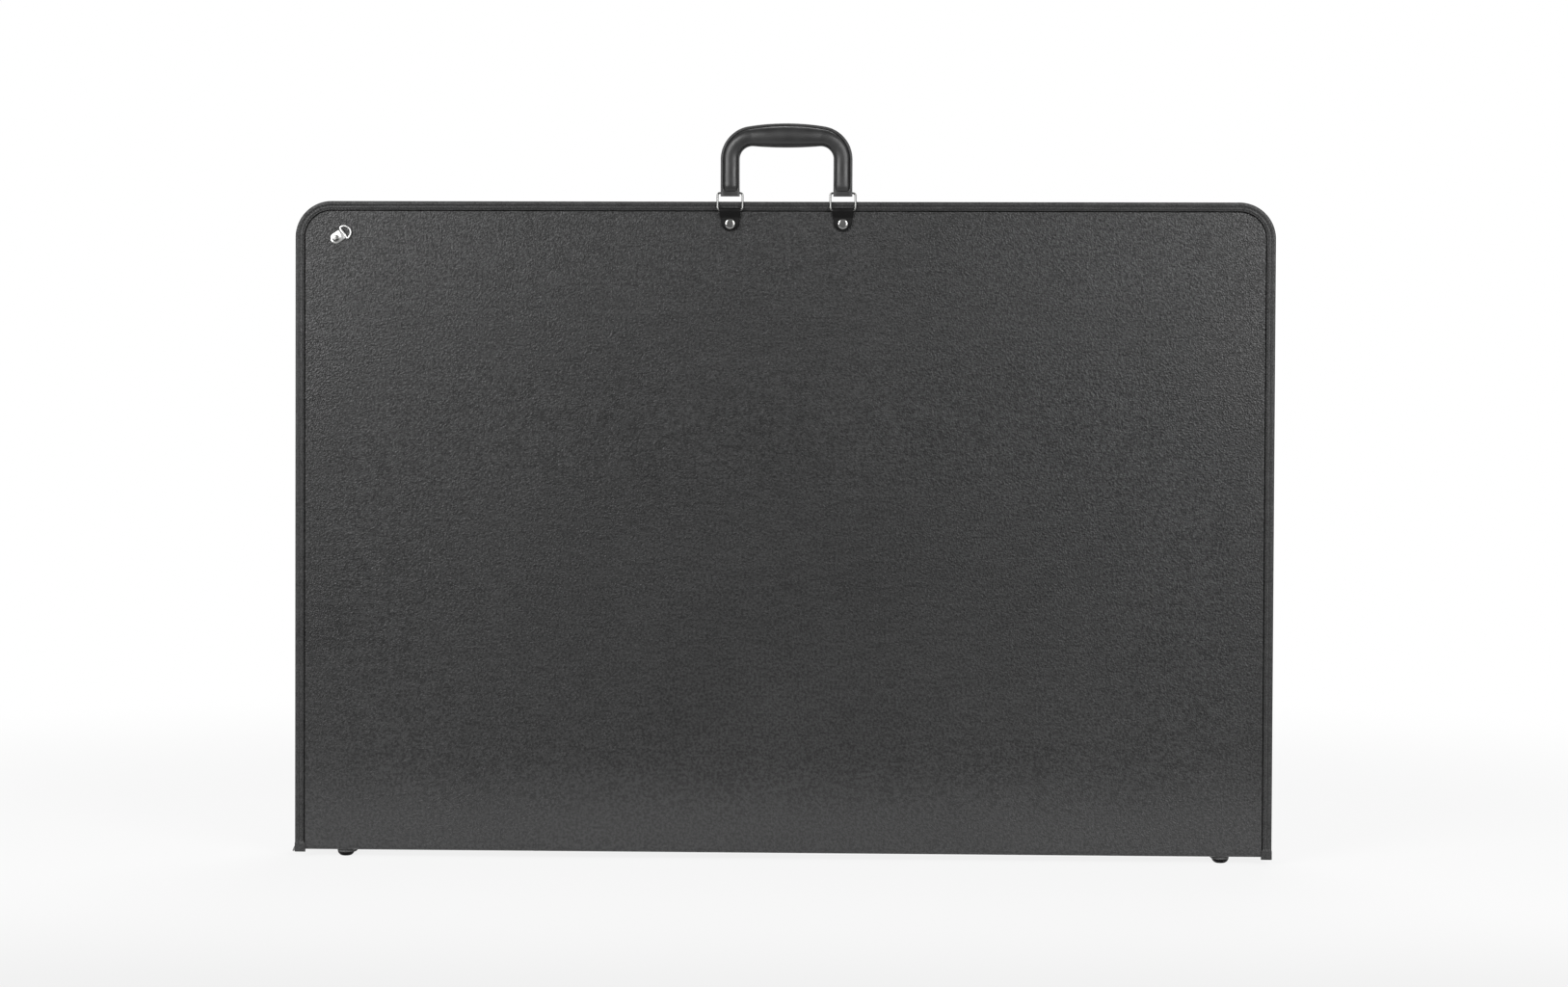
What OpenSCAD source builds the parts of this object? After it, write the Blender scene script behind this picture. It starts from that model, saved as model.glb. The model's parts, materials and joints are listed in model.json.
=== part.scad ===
// Zip-up art portfolio in millimetres: two stiff covered panels folded on a flat spine,
// bound edges, a zip round three sides, a moulded handle on two rings, and a strap ring
// on each face. X runs along the spine, -Y is the front face, Z is up from the floor.

/* [Case] */
// Width over the bound side edges
case_w = 940; // [600:5:1200]
// Height from the underside of the spine to the top edge
case_h = 626; // [420:2:820]
// Depth over the two covers
case_d = 50; // [46:1:80]
// Radius of the two top corners
corner_r = 35; // [25:1:60]

/* [Panels] */
// Thickness of the leathercloth cover
cover_t = 0.8; // [0.6:0.1:1]
// Thickness of the stiff board
board_t = 2.2; // [1.6:0.1:2.4]
// Thickness of the lining cloth
lining_t = 0.5; // [0.3:0.1:0.7]
// Radius of the skin where it turns from the spine into a panel
fold_r = 4; // [3.8:0.1:5]
// How far the spine stops short of each bound edge
spine_short = 2; // [1.5:0.1:4]

/* [Binding] */
// Width of the binding tape on each face
binding_w = 9.3; // [8:0.1:12]
// Thickness of the binding tape
binding_t = 0.7; // [0.4:0.1:1]
// How far its sewn ends hang below the spine
binding_drop = 2; // [0:0.5:4]

/* [Zip] */
// Thickness of the woven zip tape
tape_t = 0.6; // [0.4:0.1:0.8]
// Thickness of a row of zip teeth
teeth_t = 2.4; // [2:0.1:3]
// Width of one row of zip teeth
teeth_w = 3.3; // [2.6:0.1:4]
// Parting between the two rows, where the slider's wedge runs
teeth_gap = 1.4; // [1.2:0.1:1.8]
// Height above the spine at which the rows of teeth start
teeth_start = 9; // [7:0.5:14]
// Length of a crimped end stop
stop_len = 3; // [2:0.1:4]
// Length of the slider body
slider_len = 15; // [13:0.5:18]
// Width of the slider at its mouth
slider_w = 12.8; // [11:0.1:15]
// Thickness of each slider plate
slider_plate_t = 1.2; // [0.8:0.1:1.6]
// Width of the lug that holds the pull
lug_w = 4.4; // [3:0.1:6]
// Diameter of the pull's wire
pull_wire = 1.6; // [1.2:0.1:2]
// Distance between the pull's two side wires
pull_w = 11.4; // [9:0.1:14]
// Length of the pull from its pivot to its far wire
pull_len = 24.6; // [18:0.2:26]
// Tilt of the pull, which stands clear of the end of the spine
pull_tilt = 30; // [22:1:60]

/* [Feet] */
// Diameter of a domed foot
foot_d = 16.7; // [12:0.1:18]
// Height of a domed foot
foot_h = 7; // [5:0.5:10]
// Diameter of the flat that a foot stands on
foot_flat = 6; // [4:0.5:8]
// Distance of the feet from each side edge
foot_inset = 47.5; // [25:0.5:120]
// Diameter of a foot's shank
shank_d = 3.2; // [2:0.1:4]
// Diameter of the washer inside
washer_d = 12; // [8:0.5:15]
// Thickness of the washer inside
washer_t = 0.8; // [0.5:0.1:1.2]

/* [Handle] */
// Width of the handle over its legs
handle_w = 126; // [110:1:150]
// Height from the ring bars to the crown
handle_h = 66.3; // [58:1:80]
// Sideways shift of the handle from the middle of the case
handle_shift = 3; // [-10:0.5:10]
// Width of a leg at its end
leg_w = 18.2; // [15:0.1:19]
// Thickness of the grip from crown to belly
grip_t = 22.8; // [18:0.2:26]
// Depth of the grip from front to back
grip_d = 21; // [16:0.5:26]
// Depth of the rounded rib on the legs
rib_d = 13; // [9:0.5:16]
// Depth of the flat rim that runs round the rib
rim_d = 6; // [4:0.5:8]
// Width of the rim on the outside of the handle
rim_w = 2.7; // [2:0.1:3.5]
// Radius of the handle's outer corners
handle_corner = 32; // [28:1:38]
// Radius of the handle's inner corners
handle_inner = 12.5; // [8:0.5:14]

/* [Rings and straps] */
// Diameter of the ring wire
ring_wire = 2; // [1.6:0.1:2.4]
// Distance between the side wires of a ring
ring_w = 24; // [23:0.5:30]
// Distance between the two bars of a ring
ring_h = 16.3; // [14:0.1:20]
// Radius of a ring's corners
ring_corner = 2.4; // [1.5:0.1:3]
// Depth of the lower bar below the top edge of the case
ring_drop = 8.3; // [6:0.1:9]
// Thickness of the strap leather
strap_t = 1.2; // [0.8:0.1:1.6]
// Width of a strap at its loop
strap_w = 20; // [17:0.5:21]
// Width of a strap at its tip
strap_tip_w = 17.6; // [14:0.2:19]
// Length of a strap below its ring bar
strap_len = 20; // [18:0.5:26]
// Depth of a strap's rivet below the top edge of the case
strap_rivet_drop = 21.3; // [19:0.1:24]
// Diameter of a strap rivet's cap
cap_d = 10; // [8:0.2:12]
// Height of a strap rivet's cap
cap_h = 2.2; // [1.4:0.1:3]
// Diameter of the rivet shanks
rivet_d = 3; // [2:0.1:3.4]

/* [Strap rings] */
// Distance of the clip's rivet from the side edge
clip_in = 39.2; // [28:0.2:60]
// Distance of the clip's rivet from the top edge
clip_down = 35.9; // [28:0.1:60]
// Angle of the clip above level
clip_tilt = 34.5; // [0:0.5:90]
// Width of the clip
clip_w = 10.2; // [8:0.1:12]
// Length from the clip's rivet to the ring's bar
clip_len = 8.7; // [7:0.1:12]
// Thickness of the clip's metal
clip_t = 0.6; // [0.4:0.1:0.8]
// Diameter of the strap ring's wire
d_wire = 1.9; // [1.4:0.1:2.4]
// Length of the straight sides of the strap ring
d_leg = 1.2; // [1:0.1:5]
// Diameter of the clip rivet's head
head_d = 6.8; // [5:0.1:8]
// Height of the clip rivet's head
head_h = 1.8; // [1:0.1:2]

/* [Fits] */
// Radial clearance of a wire in its bore
pin_clear = 0.08; // [0.03:0.01:0.1]
// Clearance between sliding or turning faces
face_clear = 0.2; // [0.1:0.05:0.3]
// Gap at which a loose piece lies from what stops it
rest_gap = 0.3; // [0.2:0.05:0.5]

/* [Hidden] */
$fn = 64;
eps = 0.01;

// Levels and half widths of the folded case
front_y = -case_d / 2;
top_z = foot_h + case_h;
panel_t = cover_t + board_t + lining_t;
panel_low = foot_h + fold_r;
spine_half = case_d / 2 - fold_r;
spine_len = case_w - 2 * spine_short;
spine_top = foot_h + panel_t;

// Zip
tape_low = panel_low + 1;
teeth_low = foot_h + teeth_start;
teeth_in = teeth_gap / 2;
teeth_out = teeth_in + teeth_w;
zip_inset = binding_w + tape_t / 2;
plate_gap = teeth_t + 2 * face_clear;
plate_top = plate_gap / 2 + slider_plate_t;
slider_z = teeth_low + rest_gap + slider_len / 2;
pull_bore = pull_wire / 2 + pin_clear;
pull_up = plate_top + pull_wire / 2 + rest_gap;

// Feet
foot_gap = 0.65;
foot_y = spine_half - foot_d / 2 - foot_gap;
foot_x = case_w / 2 - foot_inset;

// Rings, straps and handle; heights off the cover are counted outwards
leg_pitch = handle_w - leg_w;
ring_bore = ring_wire / 2 + pin_clear;
loop_r = ring_bore + strap_t;
loop_gap = 0.02;
ring_off = binding_t + loop_r + loop_gap;
ring_z = top_z - ring_drop;
bar_z = ring_z + ring_h;
strap_rivet_z = top_z - strap_rivet_drop;
shank_clear = 0.05;
back_cap_d = 9;
back_cap_h = 1.2;

// Strap ring clip
clip_pack = 2 * clip_t;
d_bore = d_wire / 2 + pin_clear;
d_up = d_bore + clip_t;
d_half = clip_w / 2 + d_wire / 2 + face_clear;
clip_x = case_w / 2 - clip_in;
clip_z = top_z - clip_down;

// The face of a panel set in from its bound edge, square at the foot and round at the top
module face(inset, low) {
    r = corner_r - inset;
    half = case_w / 2 - inset;
    high = top_z - inset;
    translate([-half, low])
        square([2 * half, high - r - low]);
    translate([r - half, low])
        square([2 * (half - r), high - low]);
    for (side = [-1, 1])
        translate([side * (half - r), high - r])
            circle(r);
}

// A sheet of that face between two depths, counted inwards from the front cover
module sheet(near, far, inset, low) {
    translate([0, front_y + far, 0])
        rotate([90, 0, 0])
            linear_extrude(far - near)
                face(inset, low);
}

// A strip that follows the edge of the panel between two insets
module edge_strip(near, far, inset, width, low) {
    difference() {
        sheet(near, far, inset, low);
        sheet(near - 1, far + 1, inset + width, low - 1);
    }
}

// Puts a piece of the front panel on the back panel as well
module on_side(back) {
    mirror([0, back ? 1 : 0, 0])
        children();
}

// Turns a piece of the front face round to the back face
module turned(back) {
    rotate([0, 0, back ? 180 : 0])
        children();
}

// A spherical cap that rises from z = 0
module dome(d, h) {
    ball_r = (d * d / 4 + h * h) / (2 * h);
    intersection() {
        translate([0, 0, h - ball_r])
            sphere(ball_r, $fn = 180);
        cylinder(d = d, h = h + 1);
    }
}

// Runs children from a point of the front cover, z pointing out of the face
module off_face(x, z) {
    translate([x, front_y, z])
        rotate([90, 0, 0])
            children();
}

module strap_places() {
    for (side = [-1, 1])
        translate([handle_shift + side * leg_pitch / 2, 0, 0])
            children();
}

module rivet_holes(back) {
    depth = panel_t + 2;
    if (!back)
        strap_places()
            off_face(0, strap_rivet_z)
                translate([0, 0, 1 - depth])
                    cylinder(d = rivet_d + 2 * shank_clear, h = depth);
    turned(back)
        off_face(-clip_x, clip_z)
            translate([0, 0, 1 - depth])
                cylinder(d = rivet_d + 2 * shank_clear, h = depth);
}

// One layer of a panel, with its rivet holes
module layer(back, near, far) {
    difference() {
        on_side(back)
            sheet(near, far, binding_t, panel_low);
        rivet_holes(back);
    }
}

module panel_cover(back) {
    color([0.2, 0.2, 0.2])
        layer(back, 0, cover_t);
}

module panel_board(back) {
    color([0.45, 0.4, 0.33])
        layer(back, cover_t, cover_t + board_t);
}

module panel_lining(back) {
    color([0.1, 0.1, 0.1])
        layer(back, cover_t + board_t, panel_t);
}

// Binding folded over the panel's edge and the zip tape's; its sewn ends hang below
module binding(back) {
    inside = panel_t + tape_t;
    low = foot_h - binding_drop;
    color([0.13, 0.13, 0.13])
        on_side(back)
            difference() {
                edge_strip(-binding_t, inside + binding_t, 0, binding_w, low);
                sheet(0, inside, binding_t, low - 1);
                translate([binding_t - case_w / 2, front_y, low - 1])
                    cube([case_w - 2 * binding_t, inside + 1 + binding_t, tape_low - low + 1]);
            }
}

// Zip tape: a flange sewn under the binding and a wall that closes the side of the case
module zip_tape(back) {
    color([0.08, 0.08, 0.08])
        on_side(back) {
            edge_strip(panel_t, panel_t + tape_t, binding_t, binding_w + tape_t - binding_t, tape_low);
            edge_strip(panel_t, case_d / 2 - teeth_out, binding_w, tape_t, tape_low);
        }
}

module zip_teeth(back) {
    color([0.12, 0.12, 0.12])
        on_side(back)
            edge_strip(case_d / 2 - teeth_out, case_d / 2 - teeth_in,
                       zip_inset - teeth_t / 2, teeth_t, teeth_low);
}

// Crimped stops that end each row of teeth, thin enough to pass between the slider's plates
module zip_stops(back) {
    half = teeth_t / 2 + face_clear / 2;
    bevel = 0.6;
    color([0.75, 0.75, 0.72])
        on_side(back)
            for (side = [-1, 1])
                translate([side * (case_w / 2 - zip_inset), 0, teeth_low - stop_len])
                    linear_extrude(stop_len)
                        polygon([
                            [-half, -teeth_out], [half, -teeth_out],
                            [half, -teeth_in - bevel], [half - bevel, -teeth_in],
                            [bevel - half, -teeth_in], [-half, -teeth_in - bevel]
                        ]);
}

module spine_holes() {
    for (x = [-foot_x, foot_x], y = [-foot_y, foot_y])
        translate([x, y, foot_h - 1])
            cylinder(d = shank_d + 2 * shank_clear, h = panel_t + 2);
}

module spine_layer(low, thick) {
    difference() {
        translate([-spine_len / 2, -spine_half, foot_h + low])
            cube([spine_len, 2 * spine_half, thick]);
        spine_holes();
    }
}

module spine_cover() {
    color([0.2, 0.2, 0.2])
        spine_layer(0, cover_t);
}

module spine_board() {
    color([0.45, 0.4, 0.33])
        spine_layer(cover_t, board_t);
}

module spine_lining() {
    color([0.1, 0.1, 0.1])
        spine_layer(cover_t + board_t, lining_t);
}

// The skin and the lining, glued together, turn from the spine into a panel
module crease(back) {
    color([0.18, 0.18, 0.18])
        on_side(back)
            translate([-spine_len / 2, -spine_half, panel_low])
                rotate([0, 90, 0])
                    intersection() {
                        difference() {
                            cylinder(r = fold_r, h = spine_len);
                            translate([0, 0, -1])
                                cylinder(r = fold_r - cover_t - lining_t, h = spine_len + 2);
                        }
                        translate([0, -fold_r - 1, -1])
                            cube([fold_r + 1, fold_r + 1, spine_len + 2]);
                    }
}

// Domed foot, its flat on the floor and its shank through the spine
module foot() {
    rise = foot_h;
    centre = (rise * rise + foot_d * foot_d / 4 - foot_flat * foot_flat / 4) / (2 * rise);
    ball_r = sqrt(centre * centre + foot_flat * foot_flat / 4);
    intersection() {
        translate([0, 0, centre])
            sphere(ball_r, $fn = 96);
        cylinder(r = foot_d, h = rise);
    }
    translate([0, 0, rise - 1])
        cylinder(d = shank_d, h = 1 + panel_t + washer_t);
}

module feet() {
    color([0.05, 0.05, 0.05])
        for (x = [-foot_x, foot_x], y = [-foot_y, foot_y])
            translate([x, y, 0])
                foot();
}

module foot_washers() {
    color([0.7, 0.7, 0.7])
        for (x = [-foot_x, foot_x], y = [-foot_y, foot_y])
            translate([x, y, spine_top])
                difference() {
                    cylinder(d = washer_d, h = washer_t);
                    translate([0, 0, -1])
                        cylinder(d = shank_d + 2 * shank_clear, h = washer_t + 2);
                }
}

// Runs children at the slider: x up the zip, y across it, z out of the case
module at_slider() {
    translate([zip_inset - case_w / 2, 0, slider_z])
        rotate([0, -90, 0])
            children();
}

// Outline of a slider plate: wide at the mouth, where the rows part, and narrower behind
module slider_plate() {
    half = slider_len / 2;
    mouth = slider_w / 2;
    rear = teeth_out + 1.2;
    polygon([
        [-half, -mouth + 2], [2 - half, -mouth], [0, -mouth],
        [half - 1, -rear], [half, 1 - rear], [half, rear - 1], [half - 1, rear],
        [0, mouth], [2 - half, mouth], [-half, mouth - 2]
    ]);
}

module zip_slider() {
    half = slider_len / 2;
    wedge = teeth_in - face_clear;
    wedge_len = 5;
    wedge_from = 1 - half;
    wedge_at = wedge_from + 0.44 * wedge_len;
    lug_wall = 1.1;
    lug_r = pull_bore + lug_wall;
    color([0.72, 0.72, 0.7])
        at_slider()
            difference() {
                union() {
                    for (low = [plate_gap / 2, -plate_top])
                        translate([0, 0, low])
                            linear_extrude(slider_plate_t)
                                slider_plate();
                    translate([0, 0, -plate_gap / 2 - eps])
                        linear_extrude(plate_gap + 2 * eps)
                            polygon([
                                [wedge_from, 0], [wedge_at, -wedge],
                                [wedge_from + wedge_len, 0], [wedge_at, wedge]
                            ]);
                    translate([0, lug_w / 2, pull_up])
                        rotate([90, 0, 0])
                            linear_extrude(lug_w) {
                                circle(lug_r);
                                translate([-lug_r, plate_top - pull_up - eps])
                                    square([2 * lug_r, pull_up - plate_top + eps]);
                            }
                }
                translate([0, lug_w / 2 + 1, pull_up])
                    rotate([90, 0, 0])
                        cylinder(r = pull_bore, h = lug_w + 2);
            }
}

// A quarter of a wire corner about the origin, from angle start
module wire_turn(start, sweep, bend, wire) {
    rotate([0, 0, start])
        rotate_extrude(angle = sweep)
            translate([bend, 0])
                circle(d = wire, $fn = 32);
}

module wire_run(from, to, wire) {
    span = to - from;
    translate(from)
        rotate([0, 90, atan2(span[1], span[0])])
            cylinder(d = wire, h = norm(span), $fn = 32);
}

// Wire bent to a bar, two sides and a round end; the bar lies on x, the end is towards +y
module bow(half, leg, bend, wire) {
    wire_run([bend - half, 0, 0], [half - bend, 0, 0], wire);
    for (side = [0, 1])
        mirror([side, 0, 0]) {
            translate([half - bend, bend, 0])
                wire_turn(-90, 90, bend, wire);
            if (leg > bend)
                wire_run([half, bend, 0], [half, leg, 0], wire);
        }
    translate([0, leg, 0])
        wire_turn(0, 180, half, wire);
}

module zip_pull() {
    half = pull_w / 2;
    color([0.8, 0.8, 0.8])
        at_slider()
            translate([0, 0, pull_up])
                rotate([0, pull_tilt, 0])
                    rotate([0, 0, 90])
                        bow(half, pull_len - half, 2, pull_wire);
}

// Rectangular ring with a lower bar in the strap and an upper bar in the handle
module ring() {
    half = ring_w / 2;
    color([0.8, 0.8, 0.8])
        translate([0, front_y - ring_off, ring_z])
            rotate([90, 0, 0]) {
                for (y = [0, ring_h])
                    wire_run([ring_corner - half, y, 0], [half - ring_corner, y, 0], ring_wire);
                for (x = [-half, half])
                    wire_run([x, ring_corner, 0], [x, ring_h - ring_corner, 0], ring_wire);
                for (side = [0, 1], high = [0, 1])
                    translate([0, high * ring_h, 0])
                        mirror([side, 0, 0])
                            mirror([0, high, 0])
                                translate([half - ring_corner, ring_corner, 0])
                                    wire_turn(-90, 90, ring_corner, ring_wire);
            }
}

// Side view of a strap: x is the height off the cover, y the height above the ring's bar.
// The back leather steps over the binding, the loop goes round the bar, and the front
// leather comes down to lie on the back leather.
strap_step = ring_drop - binding_w;
strap_lean = 0.25;
strap_bend = 1.2;
strap_join = ring_drop - strap_rivet_drop + cap_d / 2 + 1.2;

module strap_outline() {
    back = ring_off - loop_r;
    front = ring_off + loop_r;
    polygon([
        [0, -strap_len], [0, strap_step - strap_bend], [back, strap_step], [back, 0],
        [front, 0], [front - strap_lean, strap_step - strap_bend],
        [2 * strap_t, strap_join - strap_bend / 2], [2 * strap_t, -strap_len]
    ]);
}

// The wedge of air between the two leathers below the ring's bar
module strap_slot() {
    back = ring_off - ring_bore;
    front = ring_off + ring_bore;
    polygon([
        [back, 0], [back, strap_step], [strap_t, strap_step - strap_bend], [strap_t, strap_join],
        [front - strap_lean, strap_step - strap_bend / 2], [front, 0]
    ]);
}

// Front view of a strap, with its tip rounded about the rivet
module strap_front() {
    tip = strap_tip_w / 2;
    shoulder = -ring_wire - strap_t;
    polygon([
        [-strap_w / 2, loop_r + 1], [-strap_w / 2, shoulder], [-tip, tip - strap_len],
        [tip, tip - strap_len], [strap_w / 2, shoulder], [strap_w / 2, loop_r + 1]
    ]);
    translate([0, tip - strap_len])
        circle(tip);
}

// The leather's side view, as wide as the strap's extrusion
module strap_fold(wide) {
    difference() {
        union() {
            translate([ring_off, 0, 0])
                cylinder(r = loop_r, h = wide);
            linear_extrude(wide)
                strap_outline();
        }
        translate([ring_off, 0, -1])
            cylinder(r = ring_bore, h = wide + 2);
        translate([0, 0, -1])
            linear_extrude(wide + 2)
                strap_slot();
    }
}

module strap() {
    wide = strap_w + 2;
    color([0.04, 0.04, 0.04])
        difference() {
            intersection() {
                translate([wide / 2, front_y, ring_z])
                    rotate([90, 0, -90])
                        strap_fold(wide);
                translate([0, front_y + 1, ring_z])
                    rotate([90, 0, 0])
                        linear_extrude(ring_off + loop_r + 2)
                            strap_front();
            }
            off_face(0, strap_rivet_z)
                translate([0, 0, -1])
                    cylinder(d = rivet_d + 2 * shank_clear, h = 2 * strap_t + 2);
        }
}

module strap_rivets() {
    color([0.8, 0.8, 0.8])
        strap_places()
            off_face(0, strap_rivet_z) {
                translate([0, 0, 2 * strap_t]) {
                    cylinder(d = cap_d, h = 0.4);
                    translate([0, 0, 0.4])
                        dome(cap_d, cap_h - 0.4);
                }
                translate([0, 0, -panel_t])
                    cylinder(d = rivet_d, h = panel_t + 2 * strap_t + 0.2);
            }
}

module back_cap(x, z) {
    off_face(x, z)
        translate([0, 0, -panel_t])
            mirror([0, 0, 1])
                dome(back_cap_d, back_cap_h);
}

module strap_rivet_backs() {
    color([0.7, 0.7, 0.7])
        strap_places()
            back_cap(0, strap_rivet_z);
}

module clip_back(back) {
    color([0.7, 0.7, 0.7])
        turned(back)
            back_cap(-clip_x, clip_z);
}

// Runs children at a clip's rivet: x along the clip, y across it, z out of the face
module at_clip(back) {
    turned(back)
        off_face(-clip_x, clip_z)
            rotate([0, 0, clip_tilt])
                children();
}

// Strap of metal folded round the ring's bar and turned back on itself under the rivet
module clip(back) {
    tip = clip_w / 2;
    color([0.85, 0.85, 0.85])
        at_clip(back)
            difference() {
                intersection() {
                    translate([0, tip, 0])
                        rotate([90, 0, 0])
                            linear_extrude(clip_w)
                                difference() {
                                    union() {
                                        translate([clip_len, d_up])
                                            circle(d_up);
                                        translate([-tip, 0])
                                            square([clip_len + tip, clip_t]);
                                        translate([-tip, clip_t])
                                            square([clip_len + tip - (d_up + d_bore) / 2, clip_t]);
                                    }
                                    translate([clip_len, d_up])
                                        circle(d_bore);
                                }
                    translate([0, 0, -1])
                        linear_extrude(2 * d_up + 2) {
                            circle(tip);
                            translate([0, -tip])
                                square([clip_len + 2 * d_up, clip_w]);
                        }
                }
                translate([0, 0, -1])
                    cylinder(d = rivet_d + 2 * pin_clear, h = clip_pack + 2);
            }
}

module d_ring(back) {
    color([0.85, 0.85, 0.85])
        at_clip(back)
            translate([clip_len, 0, d_up])
                rotate([0, 0, -90])
                    bow(d_half, d_leg, d_leg, d_wire);
}

module clip_rivet(back) {
    color([0.8, 0.8, 0.8])
        at_clip(back) {
            translate([0, 0, clip_pack + face_clear / 2])
                dome(head_d, head_h);
            translate([0, 0, -panel_t])
                cylinder(d = rivet_d, h = panel_t + clip_pack + face_clear / 2 + 0.2);
        }
}

// Handle. Its left half is a run of stations from the leg's end to the middle of the grip.
// Each holds the outer and inner point of the section in the handle's plane, the inner
// rim's width, the extra rim where the rib fades, and the depth of the rib.
crown_a = 9;
belly_a = 4.6;
leg_end = 3.1;
leg_steps = 9;
corner_steps = 8;
grip_steps = 7;
rib_steps = 12;
rib_start = 0.14;
rib_rise = 0.3;
rib_trace = 0.4;
rim_bevel = 0.8;
rib_fade = 2.5;
inner_rim = 1.6;
grip_rim = 1;
waist = 0.2;
rib_power = 2.6;

outer_cx = handle_corner - handle_w / 2;
crown_x = handle_corner * sin(crown_a) - outer_cx;
crown_rise = tan(crown_a) * crown_x / 2;
outer_cz = handle_h - crown_rise - handle_corner * cos(crown_a);
inner_x = leg_w - waist - handle_w / 2;
inner_cx = inner_x + handle_inner;
belly_x = -inner_cx - handle_inner * sin(belly_a);
belly_drop = tan(belly_a) * belly_x / 2;
inner_cz = handle_h - grip_t + belly_drop - handle_inner * cos(belly_a);

function ease(t) = t <= 0 ? 0 : t >= 1 ? 1 : sqrt(1 - pow(1 - t, 2));
function mix(a, b, t) = a + (b - a) * t;

function leg_station(t) =
    let (rise = ease((t - rib_start) / rib_rise))
    [
        [-handle_w / 2, mix(-leg_end, outer_cz, t)],
        [inner_x + waist * max(0, 1 - 2 * t), mix(-leg_end, inner_cz, t)],
        inner_rim, rib_fade * (1 - rise), mix(rim_d + rib_trace, rib_d, rise)
    ];

function corner_station(t) =
    let (a = 180 - t * (90 - crown_a), b = 180 - t * (90 + belly_a))
    [
        [outer_cx + handle_corner * cos(a), outer_cz + handle_corner * sin(a)],
        [inner_cx + handle_inner * cos(b), inner_cz + handle_inner * sin(b)],
        mix(inner_rim, grip_rim, t), 0, mix(rib_d, 0.8 * grip_d, t)
    ];

function grip_station(t) =
    let (bulge = 1 - pow(1 - t, 2))
    [
        [-crown_x * (1 - t), handle_h - crown_rise * (1 - bulge)],
        [-belly_x * (1 - t), handle_h - grip_t + belly_drop * (1 - bulge)],
        grip_rim, 0, mix(0.8 * grip_d, grip_d, bulge)
    ];

left_stations = concat(
    [for (i = [0:leg_steps]) leg_station(pow(i / leg_steps, 1.3))],
    [for (i = [1:corner_steps]) corner_station(i / corner_steps)],
    [for (i = [1:grip_steps]) grip_station(i / grip_steps)]
);

// The rounded rib between the rims: across runs from 0 to 1, up is its share of the depth
function rib_point(i) =
    let (a = 180 * i / rib_steps)
    [
        (1 - sign(cos(a)) * pow(abs(cos(a)), 2 / rib_power)) / 2,
        pow(abs(sin(a)), 2 / rib_power)
    ];

// Section of the handle, as widths from the inner edge and depths from the middle plane
function section(width, inner, outer, depth) =
    let (half = rim_d / 2, b = rim_bevel, rib_w = width - inner - outer, rib_h = (depth - rim_d) / 2)
    concat(
        [[0, half - b], [0, b - half], [b, -half]],
        [for (i = [0:rib_steps]) let (p = rib_point(i)) [inner + p[0] * rib_w, -half - p[1] * rib_h]],
        [[width - b, -half], [width, b - half], [width, half - b], [width - b, half]],
        [for (i = [rib_steps:-1:0]) let (p = rib_point(i)) [inner + p[0] * rib_w, half + p[1] * rib_h]],
        [[b, half]]
    );

// The points of one station in space, on the left side or mirrored to the right
function station_points(s, side) =
    let (across = s[0] - s[1], width = norm(across), dir = across / width)
    [
        for (p = section(width, s[2] + s[3], rim_w + s[3], s[4]))
            [side * (s[1][0] + dir[0] * p[0]), p[1], s[1][1] + dir[1] * p[0]]
    ];

module handle_body() {
    last = len(left_stations) - 1;
    rings = concat(
        [for (i = [0:last]) station_points(left_stations[i], 1)],
        [for (i = [last - 1:-1:0]) station_points(left_stations[i], -1)]
    );
    n = len(rings[0]);
    base = (len(rings) - 1) * n;
    middle = base + n;
    points = concat(
        [for (ring = rings) each ring],
        [for (side = [1, -1]) [-side * leg_pitch / 2, 0, -leg_end]]
    );
    sides = [
        for (i = [0:len(rings) - 2], j = [0:n - 1])
            let (a = i * n + j, b = i * n + (j + 1) % n)
            each [[a, b, a + n], [b, b + n, a + n]]
    ];
    ends = [
        for (j = [0:n - 1])
            let (k = (j + 1) % n)
            each [[middle, k, j], [middle + 1, base + j, base + k]]
    ];
    polyhedron(points, concat(sides, ends), convexity = 6);
}

module handle() {
    bore_len = leg_w + 4;
    color([0.16, 0.16, 0.16])
        translate([handle_shift, front_y - ring_off, bar_z])
            difference() {
                handle_body();
                for (side = [-1, 1])
                    translate([side * leg_pitch / 2 - bore_len / 2, 0, 0])
                        rotate([0, 90, 0])
                            cylinder(r = ring_bore, h = bore_len);
            }
}

module one_strap(side) {
    translate([handle_shift + side * leg_pitch / 2, 0, 0])
        strap();
}

module one_ring(side) {
    translate([handle_shift + side * leg_pitch / 2, 0, 0])
        ring();
}

panel_board(false);  // front_board
panel_cover(false);  // front_cover
panel_lining(false);  // front_lining
binding(false);  // front_binding
panel_board(true);  // back_board
panel_cover(true);  // back_cover
panel_lining(true);  // back_lining
binding(true);  // back_binding
spine_board();
spine_cover();
spine_lining();
crease(false);  // front_crease
crease(true);  // back_crease
feet();
foot_washers();
zip_tape(false);  // front_zip_tape
zip_tape(true);  // back_zip_tape
zip_teeth(false);  // front_zip_teeth
zip_teeth(true);  // back_zip_teeth
zip_stops(false);  // front_zip_stops
zip_stops(true);  // back_zip_stops
zip_slider();
zip_pull();
handle();
one_ring(-1);  // left_ring
one_ring(1);  // right_ring
one_strap(-1);  // left_strap
one_strap(1);  // right_strap
strap_rivets();
strap_rivet_backs();
clip(false);  // front_clip
d_ring(false);  // front_d_ring
clip_rivet(false);  // front_clip_rivet
clip_back(false);  // front_clip_back
clip(true);  // back_clip
d_ring(true);  // back_d_ring
clip_rivet(true);  // back_clip_rivet
clip_back(true);  // back_clip_back
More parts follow.
